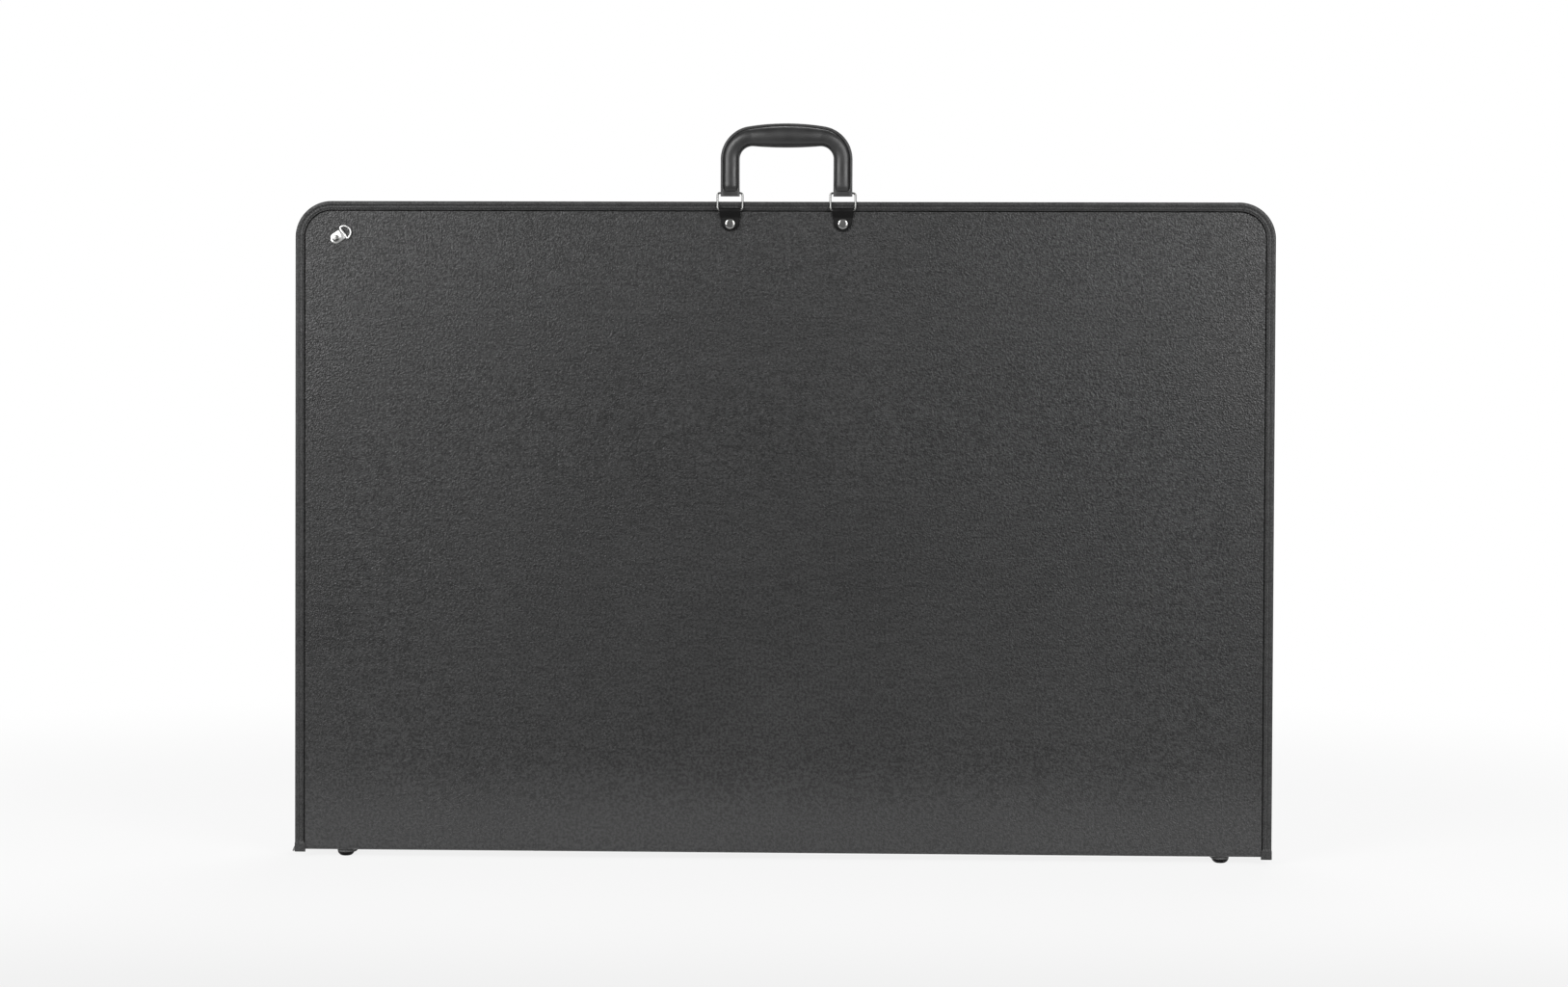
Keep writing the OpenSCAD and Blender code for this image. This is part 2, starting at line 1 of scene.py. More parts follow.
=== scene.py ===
# %% [markdown]
# # A zip-up art portfolio
# The object is a flat case for large sheets: two stiff panels covered in charcoal leathercloth,
# folded up from a flat spine, with bound edges, a zip round three sides and a moulded handle on
# two wire rings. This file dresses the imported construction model. Every piece is built in the
# same frame: X along the spine, -Y the front face, Z up, in metres.

# %% Load the frame
import json
import math

import bmesh
import bpy
from mathutils import Matrix, Vector, noise


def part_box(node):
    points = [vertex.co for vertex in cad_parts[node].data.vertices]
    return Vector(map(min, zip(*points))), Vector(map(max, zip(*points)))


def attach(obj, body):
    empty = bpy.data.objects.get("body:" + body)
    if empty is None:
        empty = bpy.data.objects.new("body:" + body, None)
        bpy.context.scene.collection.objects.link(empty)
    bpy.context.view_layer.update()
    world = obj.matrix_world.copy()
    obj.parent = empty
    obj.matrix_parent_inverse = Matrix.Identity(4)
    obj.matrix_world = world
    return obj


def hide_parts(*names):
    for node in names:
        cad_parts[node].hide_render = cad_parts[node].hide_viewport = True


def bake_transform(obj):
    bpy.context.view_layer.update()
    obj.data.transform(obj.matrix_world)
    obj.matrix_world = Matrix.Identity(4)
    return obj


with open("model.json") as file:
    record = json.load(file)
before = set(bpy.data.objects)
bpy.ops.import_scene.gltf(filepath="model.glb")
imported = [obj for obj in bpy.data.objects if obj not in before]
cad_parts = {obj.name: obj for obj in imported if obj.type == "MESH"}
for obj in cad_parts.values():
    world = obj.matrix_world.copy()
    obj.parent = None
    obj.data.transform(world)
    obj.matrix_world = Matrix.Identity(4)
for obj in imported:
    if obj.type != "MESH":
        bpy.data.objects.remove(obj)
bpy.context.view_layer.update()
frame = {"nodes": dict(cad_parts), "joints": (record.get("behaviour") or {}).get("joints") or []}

# %% [markdown]
# ## Sizes
# The sizes are written in millimetres, as a maker would, and turned into metres once.

# %% Sizes of the case
MM = 0.001
binding_low, binding_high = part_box("front_binding")
cover_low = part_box("front_cover")[0]
spine_low, spine_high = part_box("spine_cover")
HALF_W = binding_high.x
TOP = binding_high.z
FACE = -cover_low.y
COVER_LOW = cover_low.z
SPINE_HALF = spine_high.y
SPINE_END = spine_high.x
FOOT_H = spine_low.z
CORNER = 35 * MM
COVER_T = 0.8 * MM
BOARD_T = 2.2 * MM
LINING_T = 0.5 * MM
PANEL_T = COVER_T + BOARD_T + LINING_T
TAPE_T = 0.6 * MM
BINDING_T = 0.7 * MM
BINDING_W = 9.3 * MM
FOLD_R = FACE - SPINE_HALF
TAPE_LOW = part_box("front_zip_tape")[0].z
# The two panels, each with the side of the middle on which it stands
PANELS = {"front": -1, "back": 1}
print("face at", round(FACE, 4), "top at", round(TOP, 4), "fold radius", round(FOLD_R, 4))

# %% [markdown]
# ## Tools for meshes
# Most pieces are lofts: a section is placed at many stations along a path and the rings are
# joined with quads. One helper turns rings into a mesh, another turns any list of points and
# faces into a piece that rides on its body.

# %% Mesh helpers
def loft(rings, close=False):
    """Points and faces of a tube through rings of equally many points, with ends or closed."""
    count = len(rings[0])
    points = [p for ring in rings for p in ring]
    faces = []
    for i in range(len(rings) if close else len(rings) - 1):
        a, b = i * count, (i + 1) % len(rings) * count
        for j in range(count):
            k = (j + 1) % count
            faces.append((a + j, a + k, b + k, b + j))
    if not close:
        faces.append(tuple(range(count))[::-1])
        faces.append(tuple((len(rings) - 1) * count + j for j in range(count)))
    return points, faces


def join(parts):
    """One list of points and faces from several."""
    points, faces = [], []
    for some_points, some_faces in parts:
        base = len(points)
        points += some_points
        faces += [tuple(base + i for i in face) for face in some_faces]
    return points, faces


def show(name, data):
    """Puts an object with that mesh, lamp or camera into the scene."""
    shown = bpy.data.objects.new(name, data)
    bpy.context.scene.collection.objects.link(shown)
    return shown


def make(name, shape, material, body, slot, nodes=(), crease=40):
    """A piece of the object from (points, faces), smooth up to the crease angle in degrees."""
    mesh = bpy.data.meshes.new(name)
    mesh.from_pydata([tuple(p) for p in shape[0]], [], shape[1])
    tidy = bmesh.new()
    tidy.from_mesh(mesh)
    bmesh.ops.recalc_face_normals(tidy, faces=tidy.faces)
    tidy.to_mesh(mesh)
    tidy.free()
    mesh.shade_smooth()
    mesh.set_sharp_from_angle(angle=math.radians(crease))
    mesh.materials.append(material)
    piece = show(name, mesh)
    if nodes:
        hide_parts(*nodes)
    if body:
        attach(piece, body)
    print(name, len(mesh.vertices), "points")
    return piece


def ease(t):
    """0 to 1 with a soft start and end."""
    t = min(1, max(0, t))
    return t * t * (3 - 2 * t)


def mix(a, b, t):
    """From a to b as t goes from 0 to 1."""
    return a + (b - a) * t


def spread(a, b, steps):
    """Values from a to b in equal steps, with both ends."""
    return [mix(a, b, i / steps) for i in range(steps + 1)]


# %% [markdown]
# ## Tools for materials
# Each finish is a Principled shader whose colour, roughness and bump come from small procedural
# patterns. The patterns read Object coordinates. Every piece's origin is the frame's origin, so a
# grain runs on without a break from one piece to the next, as on cloth cut from one roll. The
# helpers take the output of one node and give the output of the next.

# %% Material helpers
def shader_of(tree):
    """The Principled shader of a material's node tree."""
    return tree.nodes["Principled BSDF"]


def finish(name, color, roughness, metallic=0.0, specular=0.5):
    """A new material whose shader has these constants, and its node tree."""
    material = bpy.data.materials.new(name)
    material.use_nodes = True
    sockets = shader_of(material.node_tree).inputs
    sockets["Base Color"].default_value = (*color, 1)
    sockets["Roughness"].default_value = roughness
    sockets["Metallic"].default_value = metallic
    sockets["Specular IOR Level"].default_value = specular
    return material, material.node_tree


def add(tree, kind, **values):
    """A node of that kind, with its settings and unlinked sockets set by name."""
    made = tree.nodes.new("ShaderNode" + kind)
    for key, value in values.items():
        socket = made.inputs.get(key.replace("_", " "))
        if socket is not None:
            socket.default_value = value
        else:
            setattr(made, key, value)
    return made


def link(source, node, into):
    """Leads the output of one node into another node."""
    source.id_data.links.new(source, node.inputs[into])


def paint(source, socket):
    """Leads a pattern into a socket of the material's own shader."""
    link(source, shader_of(source.id_data), socket)


def pattern(tree, kind, scale, **values):
    """A texture on object coordinates, its scale the same all ways or one for each axis."""
    scaled = add(tree, "Mapping", Scale=scale if isinstance(scale, tuple) else (scale,) * 3)
    link(add(tree, "TexCoord").outputs["Object"], scaled, "Vector")
    made = add(tree, "Tex" + kind, Scale=1.0, **values)
    link(scaled.outputs[0], made, "Vector")
    return made.outputs["Distance" if kind == "Voronoi" else "Fac"]


def soft_rise(source, between, low=0.0):
    """Goes softly from low to 1 as a measure passes between two values."""
    made = add(source.id_data, "MapRange", From_Min=between[0], From_Max=between[1], To_Min=low,
               To_Max=1.0, interpolation_type="SMOOTHSTEP")
    link(source, made, "Value")
    return made.outputs["Result"]


def along_axis(tree, axis, between, low=0.0, space="Object"):
    """Goes softly from low to 1 between two places on an axis of the frame."""
    split = add(tree, "SeparateXYZ")
    link(add(tree, "TexCoord").outputs[space], split, "Vector")
    return soft_rise(split.outputs[axis], between, low)


def combine(operation, first, second):
    """Two greys worked into one by a Math node."""
    made = add(first.id_data, "Math", operation=operation)
    link(first, made, 0)
    link(second, made, 1)
    return made.outputs[0]


def blend_of(first, second, factor):
    """Two patterns mixed into one grey, the second one by that share."""
    made = add(first.id_data, "Mix", data_type="FLOAT")
    made.inputs[0].default_value = factor
    link(first, made, 2)
    link(second, made, 3)
    return made.outputs[0]


def ramp(source, low, high, stops=(0.3, 0.7)):
    """Maps a pattern to colours or to greys."""
    made = add(source.id_data, "ValToRGB")
    for element, stop, color in zip(made.color_ramp.elements, stops, (low, high)):
        element.position = stop
        element.color = (*color, 1)
    link(source, made, "Fac")
    return made.outputs["Color"]


def tint(color, source, spread, stops=(0.3, 0.7)):
    """Varies the base colour by that share, darker to lighter, with a pattern."""
    dark = [c * (1 - spread) for c in color]
    light = [c * (1 + spread) for c in color]
    paint(ramp(source, dark, light, stops), "Base Color")


def roughness_from(source, low, high):
    """Varies the roughness between two values with a pattern."""
    paint(ramp(source, [low] * 3, [high] * 3), "Roughness")


def relief(*layers):
    """Stacks bumps, each (pattern, depth in metres, strength)."""
    below = None
    for source, depth, strength in layers:
        bump = add(source.id_data, "Bump", Distance=depth, Strength=strength)
        link(source, bump, "Height")
        if below:
            link(below, bump, "Normal")
        below = bump.outputs["Normal"]
    paint(below, "Normal")


# %% [markdown]
# ## Leathercloth
# The covering is vinyl on a cloth back, embossed with a fine pebble grain of about a millimetre.
# A cell pattern gives the pebbles and a noise breaks their rows. Long flat noise lays the faint
# streaks that calendering leaves across the roll, and a slow one makes some areas duller. The
# lowest few centimetres are painted paler, unevenly, as painted light thrown up by the floor.

# %% Leathercloth for the panels, plainer for the binding
CHARCOAL = (0.0165, 0.0165, 0.0167)
BINDING_GREY = (0.021, 0.021, 0.0212)
SPECKLE, SPECKLE_STOPS = 0.95, (0.38, 0.62)
STREAKS = (60, 60, 260)
# Painted light thrown up by the floor: the two ends of the paler band on the cover, and the heights
# over which it fades out
PAINTED_BOUNCE_DARK = (0.0192, 0.0192, 0.01944)
PAINTED_BOUNCE_PALE = (0.0448, 0.0448, 0.04536)
PAINTED_BOUNCE_FADE = (105 * MM, 28 * MM)


def paint_floor_bounce(tree, broken):
    """Painted light: blends the base colour towards a paler one near the floor, broken up by a
    pattern.
    """
    plain = shader_of(tree).inputs["Base Color"].links[0].from_socket
    bounce_mix = add(tree, "Mix", data_type="RGBA")
    link(along_axis(tree, "Z", PAINTED_BOUNCE_FADE), bounce_mix, 0)
    link(plain, bounce_mix, 6)
    link(ramp(broken, PAINTED_BOUNCE_DARK, PAINTED_BOUNCE_PALE, SPECKLE_STOPS), bounce_mix, 7)
    paint(bounce_mix.outputs[2], "Base Color")


def leathercloth(name, color, grain, depth, roughness, painted_light=False):
    """Embossed vinyl with so many grains to the metre, and its relief in metres."""
    material, tree = finish(name, color, roughness, specular=0.46)
    cells = pattern(tree, "Voronoi", grain)
    breaks = pattern(tree, "Noise", grain * 0.8, Detail=3.0, Roughness=0.6)
    streaks = pattern(tree, "Noise", STREAKS, Detail=2.0, Roughness=0.5)
    cloudy = pattern(tree, "Noise", 9, Detail=2.0)
    mottle = pattern(tree, "Noise", grain * 0.66, Detail=1.5, Roughness=0.6)
    tint(color, blend_of(mottle, streaks, 0.2), SPECKLE, SPECKLE_STOPS)
    roughness_from(blend_of(mottle, cloudy, 0.3), roughness + 0.14, roughness - 0.10)
    # Painted light: the paler band near the floor, on the cover only
    if painted_light:
        paint_floor_bounce(tree, mottle)
    relief((cells, depth, 0.7), (breaks, depth * 0.8, 0.75))
    return material


cover_finish = leathercloth("leathercloth", CHARCOAL, 620, 0.00034, 0.36, painted_light=True)
binding_finish = leathercloth("binding_cloth", BINDING_GREY, 1500, 0.0001, 0.44)
print("made", cover_finish.name, binding_finish.name)

# %% [markdown]
# ## Woven cloths, board and plastics
# The lining and the zip tape are woven, so two crossed waves stand for warp and weft. The board
# is pressed grey pulp, with flecks. The handle is soft vinyl with fine pores. The feet are black
# plastic with pebbled sides, painted speckled grey higher up as painted light on the dome, while
# the low part that stands stays black.

# %% Cloth, board, plastic
LINING_BLACK = (0.022, 0.022, 0.023)
TAPE_BLACK = (0.014, 0.014, 0.015)
BOARD_GREY = (0.42, 0.37, 0.30)
HANDLE_GREY = (0.027, 0.027, 0.0272)
FOOT_BLACK = (0.002, 0.002, 0.002)
# Painted light on the feet: the speckled grey of their upper side
FOOT_PAINTED_LIGHT = (0.21, 0.21, 0.21)
TEETH_BLACK = (0.020, 0.020, 0.021)
THREAD_GREY = (0.012, 0.012, 0.012)
# Painted shadow: the near black of the strip that stands for the shade in the crevice at the binding's
# inner edge
CREVICE_SHADE_BLACK = (0.003, 0.003, 0.003)
# Heights over which that painted light on the feet comes in
FOOT_LIGHT_HEIGHTS = (2.8 * MM, 4.6 * MM)


def weave(name, color, threads, depth, roughness):
    """Crossed threads, so many to the metre."""
    material, tree = finish(name, color, roughness, specular=0.25)
    across, along = (pattern(tree, "Wave", threads, bands_direction=axis, Distortion=0.6)
                     for axis in "XZ")
    both = blend_of(across, along, 0.5)
    tint(color, both, 0.35, (0.2, 0.8))
    relief((both, depth, 0.7))
    shader_of(tree).inputs["Sheen Weight"].default_value = 0.15
    shader_of(tree).inputs["Sheen Roughness"].default_value = 0.5
    return material


def greyboard():
    """Pulp with fine flecks."""
    material, tree = finish("greyboard", BOARD_GREY, 0.9, specular=0.2)
    flecks = pattern(tree, "Noise", 700, Detail=4.0)
    tint(BOARD_GREY, flecks, 0.22)
    relief((flecks, 0.0001, 0.5))
    return material


def foot_plastic(name, color, painted_light):
    """Pebbled, with painted light: speckled grey on its upper side, black low down where it stands."""
    material, tree = finish(name, color, 0.45, specular=0.08)
    specks = pattern(tree, "Noise", 900, Detail=3.0, Roughness=0.7)
    # Painted light: grey specks only above these heights, black below
    rub_marks_and_painted_light = combine("MULTIPLY", along_axis(tree, "Z", FOOT_LIGHT_HEIGHTS), specks)
    paint(ramp(rub_marks_and_painted_light, color, painted_light, (0.25, 0.75)), "Base Color")
    relief((specks, 0.00015, 0.6))
    return material


def vinyl(name, color, roughness, pores, depth, specular=0.5):
    """A soft plastic with so many pores to the metre."""
    material, tree = finish(name, color, roughness, specular=specular)
    cloudy = pattern(tree, "Noise", 70, Detail=2.0)
    tint(color, cloudy, 0.14)
    roughness_from(cloudy, roughness - 0.05, roughness + 0.07)
    relief((pattern(tree, "Noise", pores, Detail=3.0), depth, 0.5))
    return material


lining_finish = weave("lining_cloth", LINING_BLACK, 260, 0.0001, 0.85)
tape_finish = weave("zip_tape_weave", TAPE_BLACK, 520, 0.00012, 0.8)
board_finish = greyboard()
handle_finish = vinyl("handle_vinyl", HANDLE_GREY, 0.37, 1500, 0.00006)
foot_finish = foot_plastic("foot_plastic", FOOT_BLACK, FOOT_PAINTED_LIGHT)
teeth_finish = vinyl("zip_nylon", TEETH_BLACK, 0.38, 2000, 0.00003)
thread_finish = vinyl("thread", THREAD_GREY, 0.55, 4000, 0.00005, 0.3)
# Near black with no gloss, for the painted shadow strip beside the cover
crevice_shade_finish = vinyl("painted_crevice_shade", CREVICE_SHADE_BLACK, 0.8, 1200, 0.00008, 0.04)
print("made the cloths, board and plastics")

# %% [markdown]
# ## Strap leather and metal
# The two straps are dense black leather with a fine crackle. The metal is nickel plate with a
# little unevenness in its gloss and faint rubbing marks. One nickel is painted in three brightnesses:
# painted lighter, as lit, and slightly frosted on the strap rings and their clips; in between and
# smoother on the caps and the slider; painted darker, as shade, on the rings, the pull and the
# clips' rivet heads.

# %% Strap leather and nickel
STRAP_BLACK = (0.006, 0.006, 0.006)
NICKEL = (0.50, 0.50, 0.49)
# Painted light: the nickel of the clips and their D-rings, painted much paler
NICKEL_PAINTED_LIT = (0.84, 0.84, 0.83)
# Painted shade: the nickel of the handle's rings, the pull and the clips' rivet heads, painted much
# darker
NICKEL_PAINTED_SHADE = (0.22, 0.22, 0.216)
ZINC = (0.50, 0.50, 0.49)


def strap_leather():
    """Small cells for the crackle and finer pores between them."""
    material, tree = finish("strap_leather", STRAP_BLACK, 0.5, specular=0.12)
    pores = pattern(tree, "Noise", 2600, Detail=3.0)
    tint(STRAP_BLACK, pores, 0.4)
    roughness_from(pores, 0.44, 0.58)
    relief((pattern(tree, "Voronoi", 1400), 0.00012, 0.5), (pores, 0.00006, 0.5))
    return material


def plated(name, color, roughness):
    """Metal plate, rubbed in faint marks that run upwards."""
    material, tree = finish(name, color, roughness, metallic=1.0)
    rub_marks_and_painted_light = pattern(tree, "Noise", (380, 380, 60), Detail=4.0, Roughness=0.7)
    tint(color, rub_marks_and_painted_light, 0.08)
    roughness_from(rub_marks_and_painted_light, roughness - 0.06, roughness + 0.08)
    relief((rub_marks_and_painted_light, 0.00003, 0.3))
    return material


strap_finish = strap_leather()
nickel_finish = plated("nickel", NICKEL, 0.17)
# Nickel painted paler, as lit, and slightly frosted
lit_nickel_finish = plated("painted_lit_nickel", NICKEL_PAINTED_LIT, 0.32)
# Nickel painted darker, as in shade
shaded_nickel_finish = plated("painted_shaded_nickel", NICKEL_PAINTED_SHADE, 0.22)
zinc_finish = plated("zinc", ZINC, 0.38)
print("made the strap leather and four metals")

# %% [markdown]
# ## The panels
# Each panel is a sandwich of cover, board and lining. A real one isn't quite flat: it flares out
# to the wide spine at the bottom, is drawn in by a few millimetres above it, and is straight again
# where the zip and the handle hold it. The same small bow is given to all three layers, so that
# none comes through another. The sheet is a grid whose rows narrow at the round top corners.

# %% The panels' layers
BOW = 3 * MM
FLARE_H = 60 * MM
BOW_FADES = (300 * MM, 588 * MM)
BOW_EDGE = HALF_W - BINDING_W
# Rows of the grid in the flare, on the face and beside the corners
FLARE_ROWS, FACE_ROWS, CORNER_ROWS = 14, 40, 12
COLUMNS = 96
LINING_FROM = COVER_T + BOARD_T
LAYERS = {"cover": (cover_finish, 0, COVER_T), "board": (board_finish, COVER_T, LINING_FROM),
          "lining": (lining_finish, LINING_FROM, PANEL_T)}


def bow(x, z):
    """How far the panel is drawn in at a place on its face."""
    rise = 1 - math.exp(-(max(0, z - COVER_LOW) / FLARE_H) ** 1.5)
    fade = 1 - ease((z - BOW_FADES[0]) / (BOW_FADES[1] - BOW_FADES[0]))
    side = 1 - min(1, abs(x) / BOW_EDGE) ** 6
    return BOW * rise * fade * side


def sheet(near, far, side):
    """A layer between two depths under the face, with round top corners, inside the binding."""
    radius = CORNER - BINDING_T
    half, high = HALF_W - BINDING_T, TOP - BINDING_T
    levels = [COVER_LOW + FLARE_H * 2 * t ** 1.4 for t in spread(0, 1, FLARE_ROWS)[:-1]]
    levels += spread(COVER_LOW + FLARE_H * 2, high - radius, FACE_ROWS)[:-1]
    levels += [high - radius * (1 - math.sin(a)) for a in spread(0, math.pi / 2, CORNER_ROWS)]
    points = []
    for depth in (near, far):
        for z in levels:
            up = max(0, z - (high - radius))
            reach = half - radius + math.sqrt(max(0, radius ** 2 - up ** 2))
            xs = [reach * math.sin(a) for a in spread(-math.pi / 2, math.pi / 2, COLUMNS)]
            points += [Vector((x, side * (FACE - depth - bow(x, z)), z)) for x in xs]
    wide, tall = COLUMNS + 1, len(levels)
    faces = []
    for base in (0, wide * tall):
        for i in range(tall - 1):
            for a in range(base + i * wide, base + i * wide + COLUMNS):
                faces.append((a, a + 1, a + 1 + wide, a + wide))
    rim = list(range(wide)) + [i * wide + COLUMNS for i in range(1, tall)]
    rim += [(tall - 1) * wide + j for j in range(COLUMNS - 1, -1, -1)]
    rim += [i * wide for i in range(tall - 2, 0, -1)]
    for i, a in enumerate(rim):
        b = rim[(i + 1) % len(rim)]
        faces.append((a, b, b + wide * tall, a + wide * tall))
    return points, faces


for panel, side in PANELS.items():
    for layer, (material, near, far) in LAYERS.items():
        make(f"{panel}_{layer}_sheet", sheet(near, far, side), material,
             panel + "_panel", layer, [f"{panel}_{layer}"], 30)

# %% [markdown]
# ## The bound edge
# Binding tape, zip and stitches all follow one line: up one side, round a corner, along the top
# and down again. The helpers give the place and the directions at any length along that line, at
# any distance in from the edge, and set the points of a section about it.

# %% The line of the edge
def edge_parts(inset, low):
    """Lengths of one side, of one corner and of the top."""
    radius = CORNER - inset
    return TOP - inset - radius - low, radius * math.pi / 2, 2 * (HALF_W - inset - radius)


def edge_length(inset, low):
    """From the foot of the left side round to the foot of the right one."""
    side, turn, across = edge_parts(inset, low)
    return 2 * side + 2 * turn + across


def edge_at(s, inset, low):
    """Place (x, z), way inwards and way along, at a length s from the foot of the left side."""
    total = edge_length(inset, low)
    if s > total / 2:
        (x, z), (nx, nz), (tx, tz) = edge_at(total - s, inset, low)
        return (-x, z), (-nx, nz), (tx, -tz)
    side, turn, _ = edge_parts(inset, low)
    radius, half, high = CORNER - inset, HALF_W - inset, TOP - inset
    if s <= side:
        return (-half, low + s), (1, 0), (0, 1)
    if s > side + turn:
        return (-half + radius + s - side - turn, high), (0, -1), (1, 0)
    a = math.pi - (s - side) / radius
    cos, sin = math.cos(a), math.sin(a)
    return (radius - half + radius * cos, high - radius + radius * sin), (-cos, -sin), (sin, -cos)


def edge_ring(s, inset, low, section):
    """Points (inwards, y, along) set about the edge's line at a length s."""
    (x, z), (nx, nz), (tx, tz) = edge_at(s, inset, low)
    return [Vector((x + nx * u + tx * t, y, z + nz * u + tz * t)) for u, y, t in section]


def edge_sweep(inset, low, section, count):
    """One section swept along the whole edge in so many steps."""
    return loft([edge_ring(s, inset, low, section)
                 for s in spread(0, edge_length(inset, low), count)])


print("bound edge:", round(edge_length(0, binding_low.z), 3), "m")

# %% [markdown]
# ## Binding
# The binding is a strip of leathercloth folded over the raw edges of the panel and the zip tape
# and sewn through with two rows of stitches. Its section is a flat U, soft at the edges, pulled
# down where the thread runs. The rows stop short of the foot, where the ends are folded over.
# Beside the cover, along the strip's inner edge, a painted shadow stands for the shade in that
# crevice: a thin strip of its own, near black, with a finish that gives no gloss.

# %% The binding
ROWS_IN = (4.3 * MM, 7.4 * MM)
ROW_WIDTH = 0.95 * MM
ROW_DEPTH = 0.48 * MM
TOP_W = 8.7 * MM
# The painted shadow strip: its span in from the edge, its thickness, and how far it sinks below the
# face
CREVICE_SHADE_SPAN = (8.5 * MM, 9.6 * MM)
CREVICE_SHADE_T, CREVICE_SHADE_SUNK = 0.2 * MM, 0.1 * MM
STITCH = 3.1 * MM
PLAIN_END = 9 * MM
# The folded end is thicker and wider than the rest, and fades into it over a short length
END_EXTRA, END_WIDER, END_FADE = 0.35 * MM, 1.5 * MM, 1 * MM
INSIDE = PANEL_T + TAPE_T
BINDING_FOOT = binding_low.z
BINDING_STEP = STITCH / 2
# Share of the thread's pull halfway between two holes, and the length over which a row starts
BETWEEN_HOLES, SEWN_IN = 0.72, 1.2 * MM
# How far the strip's edge wavers, how quickly along it, and where in the noise for each side
WAVER, WAVER_RATE, WAVER_ROW = 0.16 * MM, 60, {-1: 7, 1: 3}
# Distances in from the strip's two sides at which its flat face ends, and points across the face
FACE_INNER, FACE_OUTER, FACE_STEPS = 0.6 * MM, 1.3 * MM, 26


def face_relief(u, sewn):
    """How much the tape is pulled down at a distance u from the edge."""
    dip = sum(math.exp(-((u - row) / ROW_WIDTH) ** 2) for row in ROWS_IN)
    return ROW_DEPTH * dip * sewn


def binding_section(width, flap, extra, sewn):
    """Points (u, v): in from the edge, and out from the cover's face, round the folded strip."""
    top = BINDING_T + extra
    front = [(width, 0.02 * MM), (width - 0.02 * MM, top * 0.6), (width - 0.25 * MM, top * 0.94)]
    front += [(u, top - face_relief(u, sewn))
              for u in spread(width - FACE_INNER, FACE_OUTER, FACE_STEPS)[1:-1]]
    corner = [(0.75 * MM, top * 0.93), (0.3 * MM, top * 0.62), (0.06 * MM - extra, top * 0.1)]
    wall = [(-extra, -0.5 * MM), (-extra, -INSIDE / 2), (-extra, 0.5 * MM - INSIDE)]
    inner_face = [(u, -INSIDE - v) for u, v in reversed(corner)]
    back = [(min(u, flap), -INSIDE - v) for u, v in reversed(front)]
    under = [(flap, -INSIDE), (BINDING_T, -INSIDE), (BINDING_T, 0)]
    return front + corner + wall + inner_face + back + under


def binding(side):
    """The folded strip, its section made anew at each hole and halfway between two."""
    total = edge_length(0, BINDING_FOOT)
    rings = []
    for i, s in enumerate(spread(0, total, round(total / BINDING_STEP))):
        height = min(s, total - s)
        sewn = ease((height - PLAIN_END) / SEWN_IN) * (BETWEEN_HOLES if i % 2 else 1)
        end = 1 - ease((height - PLAIN_END + END_FADE) / END_FADE)
        waver = WAVER * noise.noise(Vector((s * WAVER_RATE, WAVER_ROW[side], 0)))
        width = TOP_W + waver * (1 - end) + END_WIDER * end
        flap = TOP_W if height + BINDING_FOOT > TAPE_LOW else BINDING_T
        section = binding_section(width, flap, END_EXTRA * end, sewn)
        rings.append(edge_ring(s, 0, BINDING_FOOT, [(u, side * (FACE + v), 0) for u, v in section]))
    return loft(rings)


def crevice_shade_strip(side):
    """A painted shadow: a thin flat band beside the cover, for the shade in the crevice at the
    binding's inner edge.
    """
    wide = CREVICE_SHADE_SPAN[1] - CREVICE_SHADE_SPAN[0]
    section = [(0, -CREVICE_SHADE_SUNK), (0, CREVICE_SHADE_T), (wide - 0.3 * MM, CREVICE_SHADE_T),
               (wide - 0.05 * MM, CREVICE_SHADE_T * 0.6), (wide, -CREVICE_SHADE_SUNK)]
    count = round(edge_length(CREVICE_SHADE_SPAN[0], BINDING_FOOT) / STITCH)
    section = [(u, side * (FACE + v), 0) for u, v in section]
    return edge_sweep(CREVICE_SHADE_SPAN[0], BINDING_FOOT, section, count)


for panel, side in PANELS.items():
    make(panel + "_binding_tape", binding(side), binding_finish, panel + "_panel", "binding",
         [panel + "_binding"], 50)
    # The painted shadow strip in the crevice beside the cover
    make(panel + "_painted_crevice_shade", crevice_shade_strip(side), crevice_shade_finish, panel + "_panel", "binding", (), 50)

# %% [markdown]
# ## Stitches
# Each stitch is a short piece of thread that rises from one hole, lies in the groove and dips
# into the next. They are real geometry, because their shadows make the dashed line that shows
# along the edge. One small tube is bent and repeated.

# %% Rows of stitches
THREAD = 0.30 * MM
STITCH_GAP = 0.5 * MM
STITCHES_FROM = BINDING_FOOT + PLAIN_END + 1 * MM
# How far a stitch stands out in its middle, dips at its ends, and by what share it thins there
STITCH_UP, STITCH_DIP, STITCH_THINNER = 0.16 * MM, 0.42 * MM, 0.45
THREAD_SIDES = 6
THREAD_STEPS = 4


def circle(count, turned=0):
    """Angles of so many points round a circle, turned by a share of a step."""
    return [2 * math.pi * (j + turned) / count for j in range(count)]


def stitch_row(inset, height, side):
    """A row of stitches on a face at that height over the cover."""
    total = edge_length(inset, STITCHES_FROM)
    count = int(total / STITCH)
    length = total / count - STITCH_GAP
    parts = []
    for i in range(count):
        middle = total * (i + 0.5) / count
        rings = []
        for t in spread(-1, 1, THREAD_STEPS):
            lift = height + STITCH_UP - STITCH_DIP * t ** 4
            thick = THREAD * (1 - STITCH_THINNER * t ** 4)
            section = [(thick * math.cos(a), side * (FACE + (lift + thick * math.sin(a))), 0)
                       for a in circle(THREAD_SIDES)]
            rings.append(edge_ring(middle + t * length / 2, inset, STITCHES_FROM, section))
        parts.append(loft(rings))
    return join(parts)


for panel, side in PANELS.items():
    groove = BINDING_T - ROW_DEPTH
    rows = [stitch_row(inset, height, side) for height in (groove, -INSIDE - groove)
            for inset in ROWS_IN]
    make(panel + "_stitches", join(rows), thread_finish, panel + "_panel", "binding")

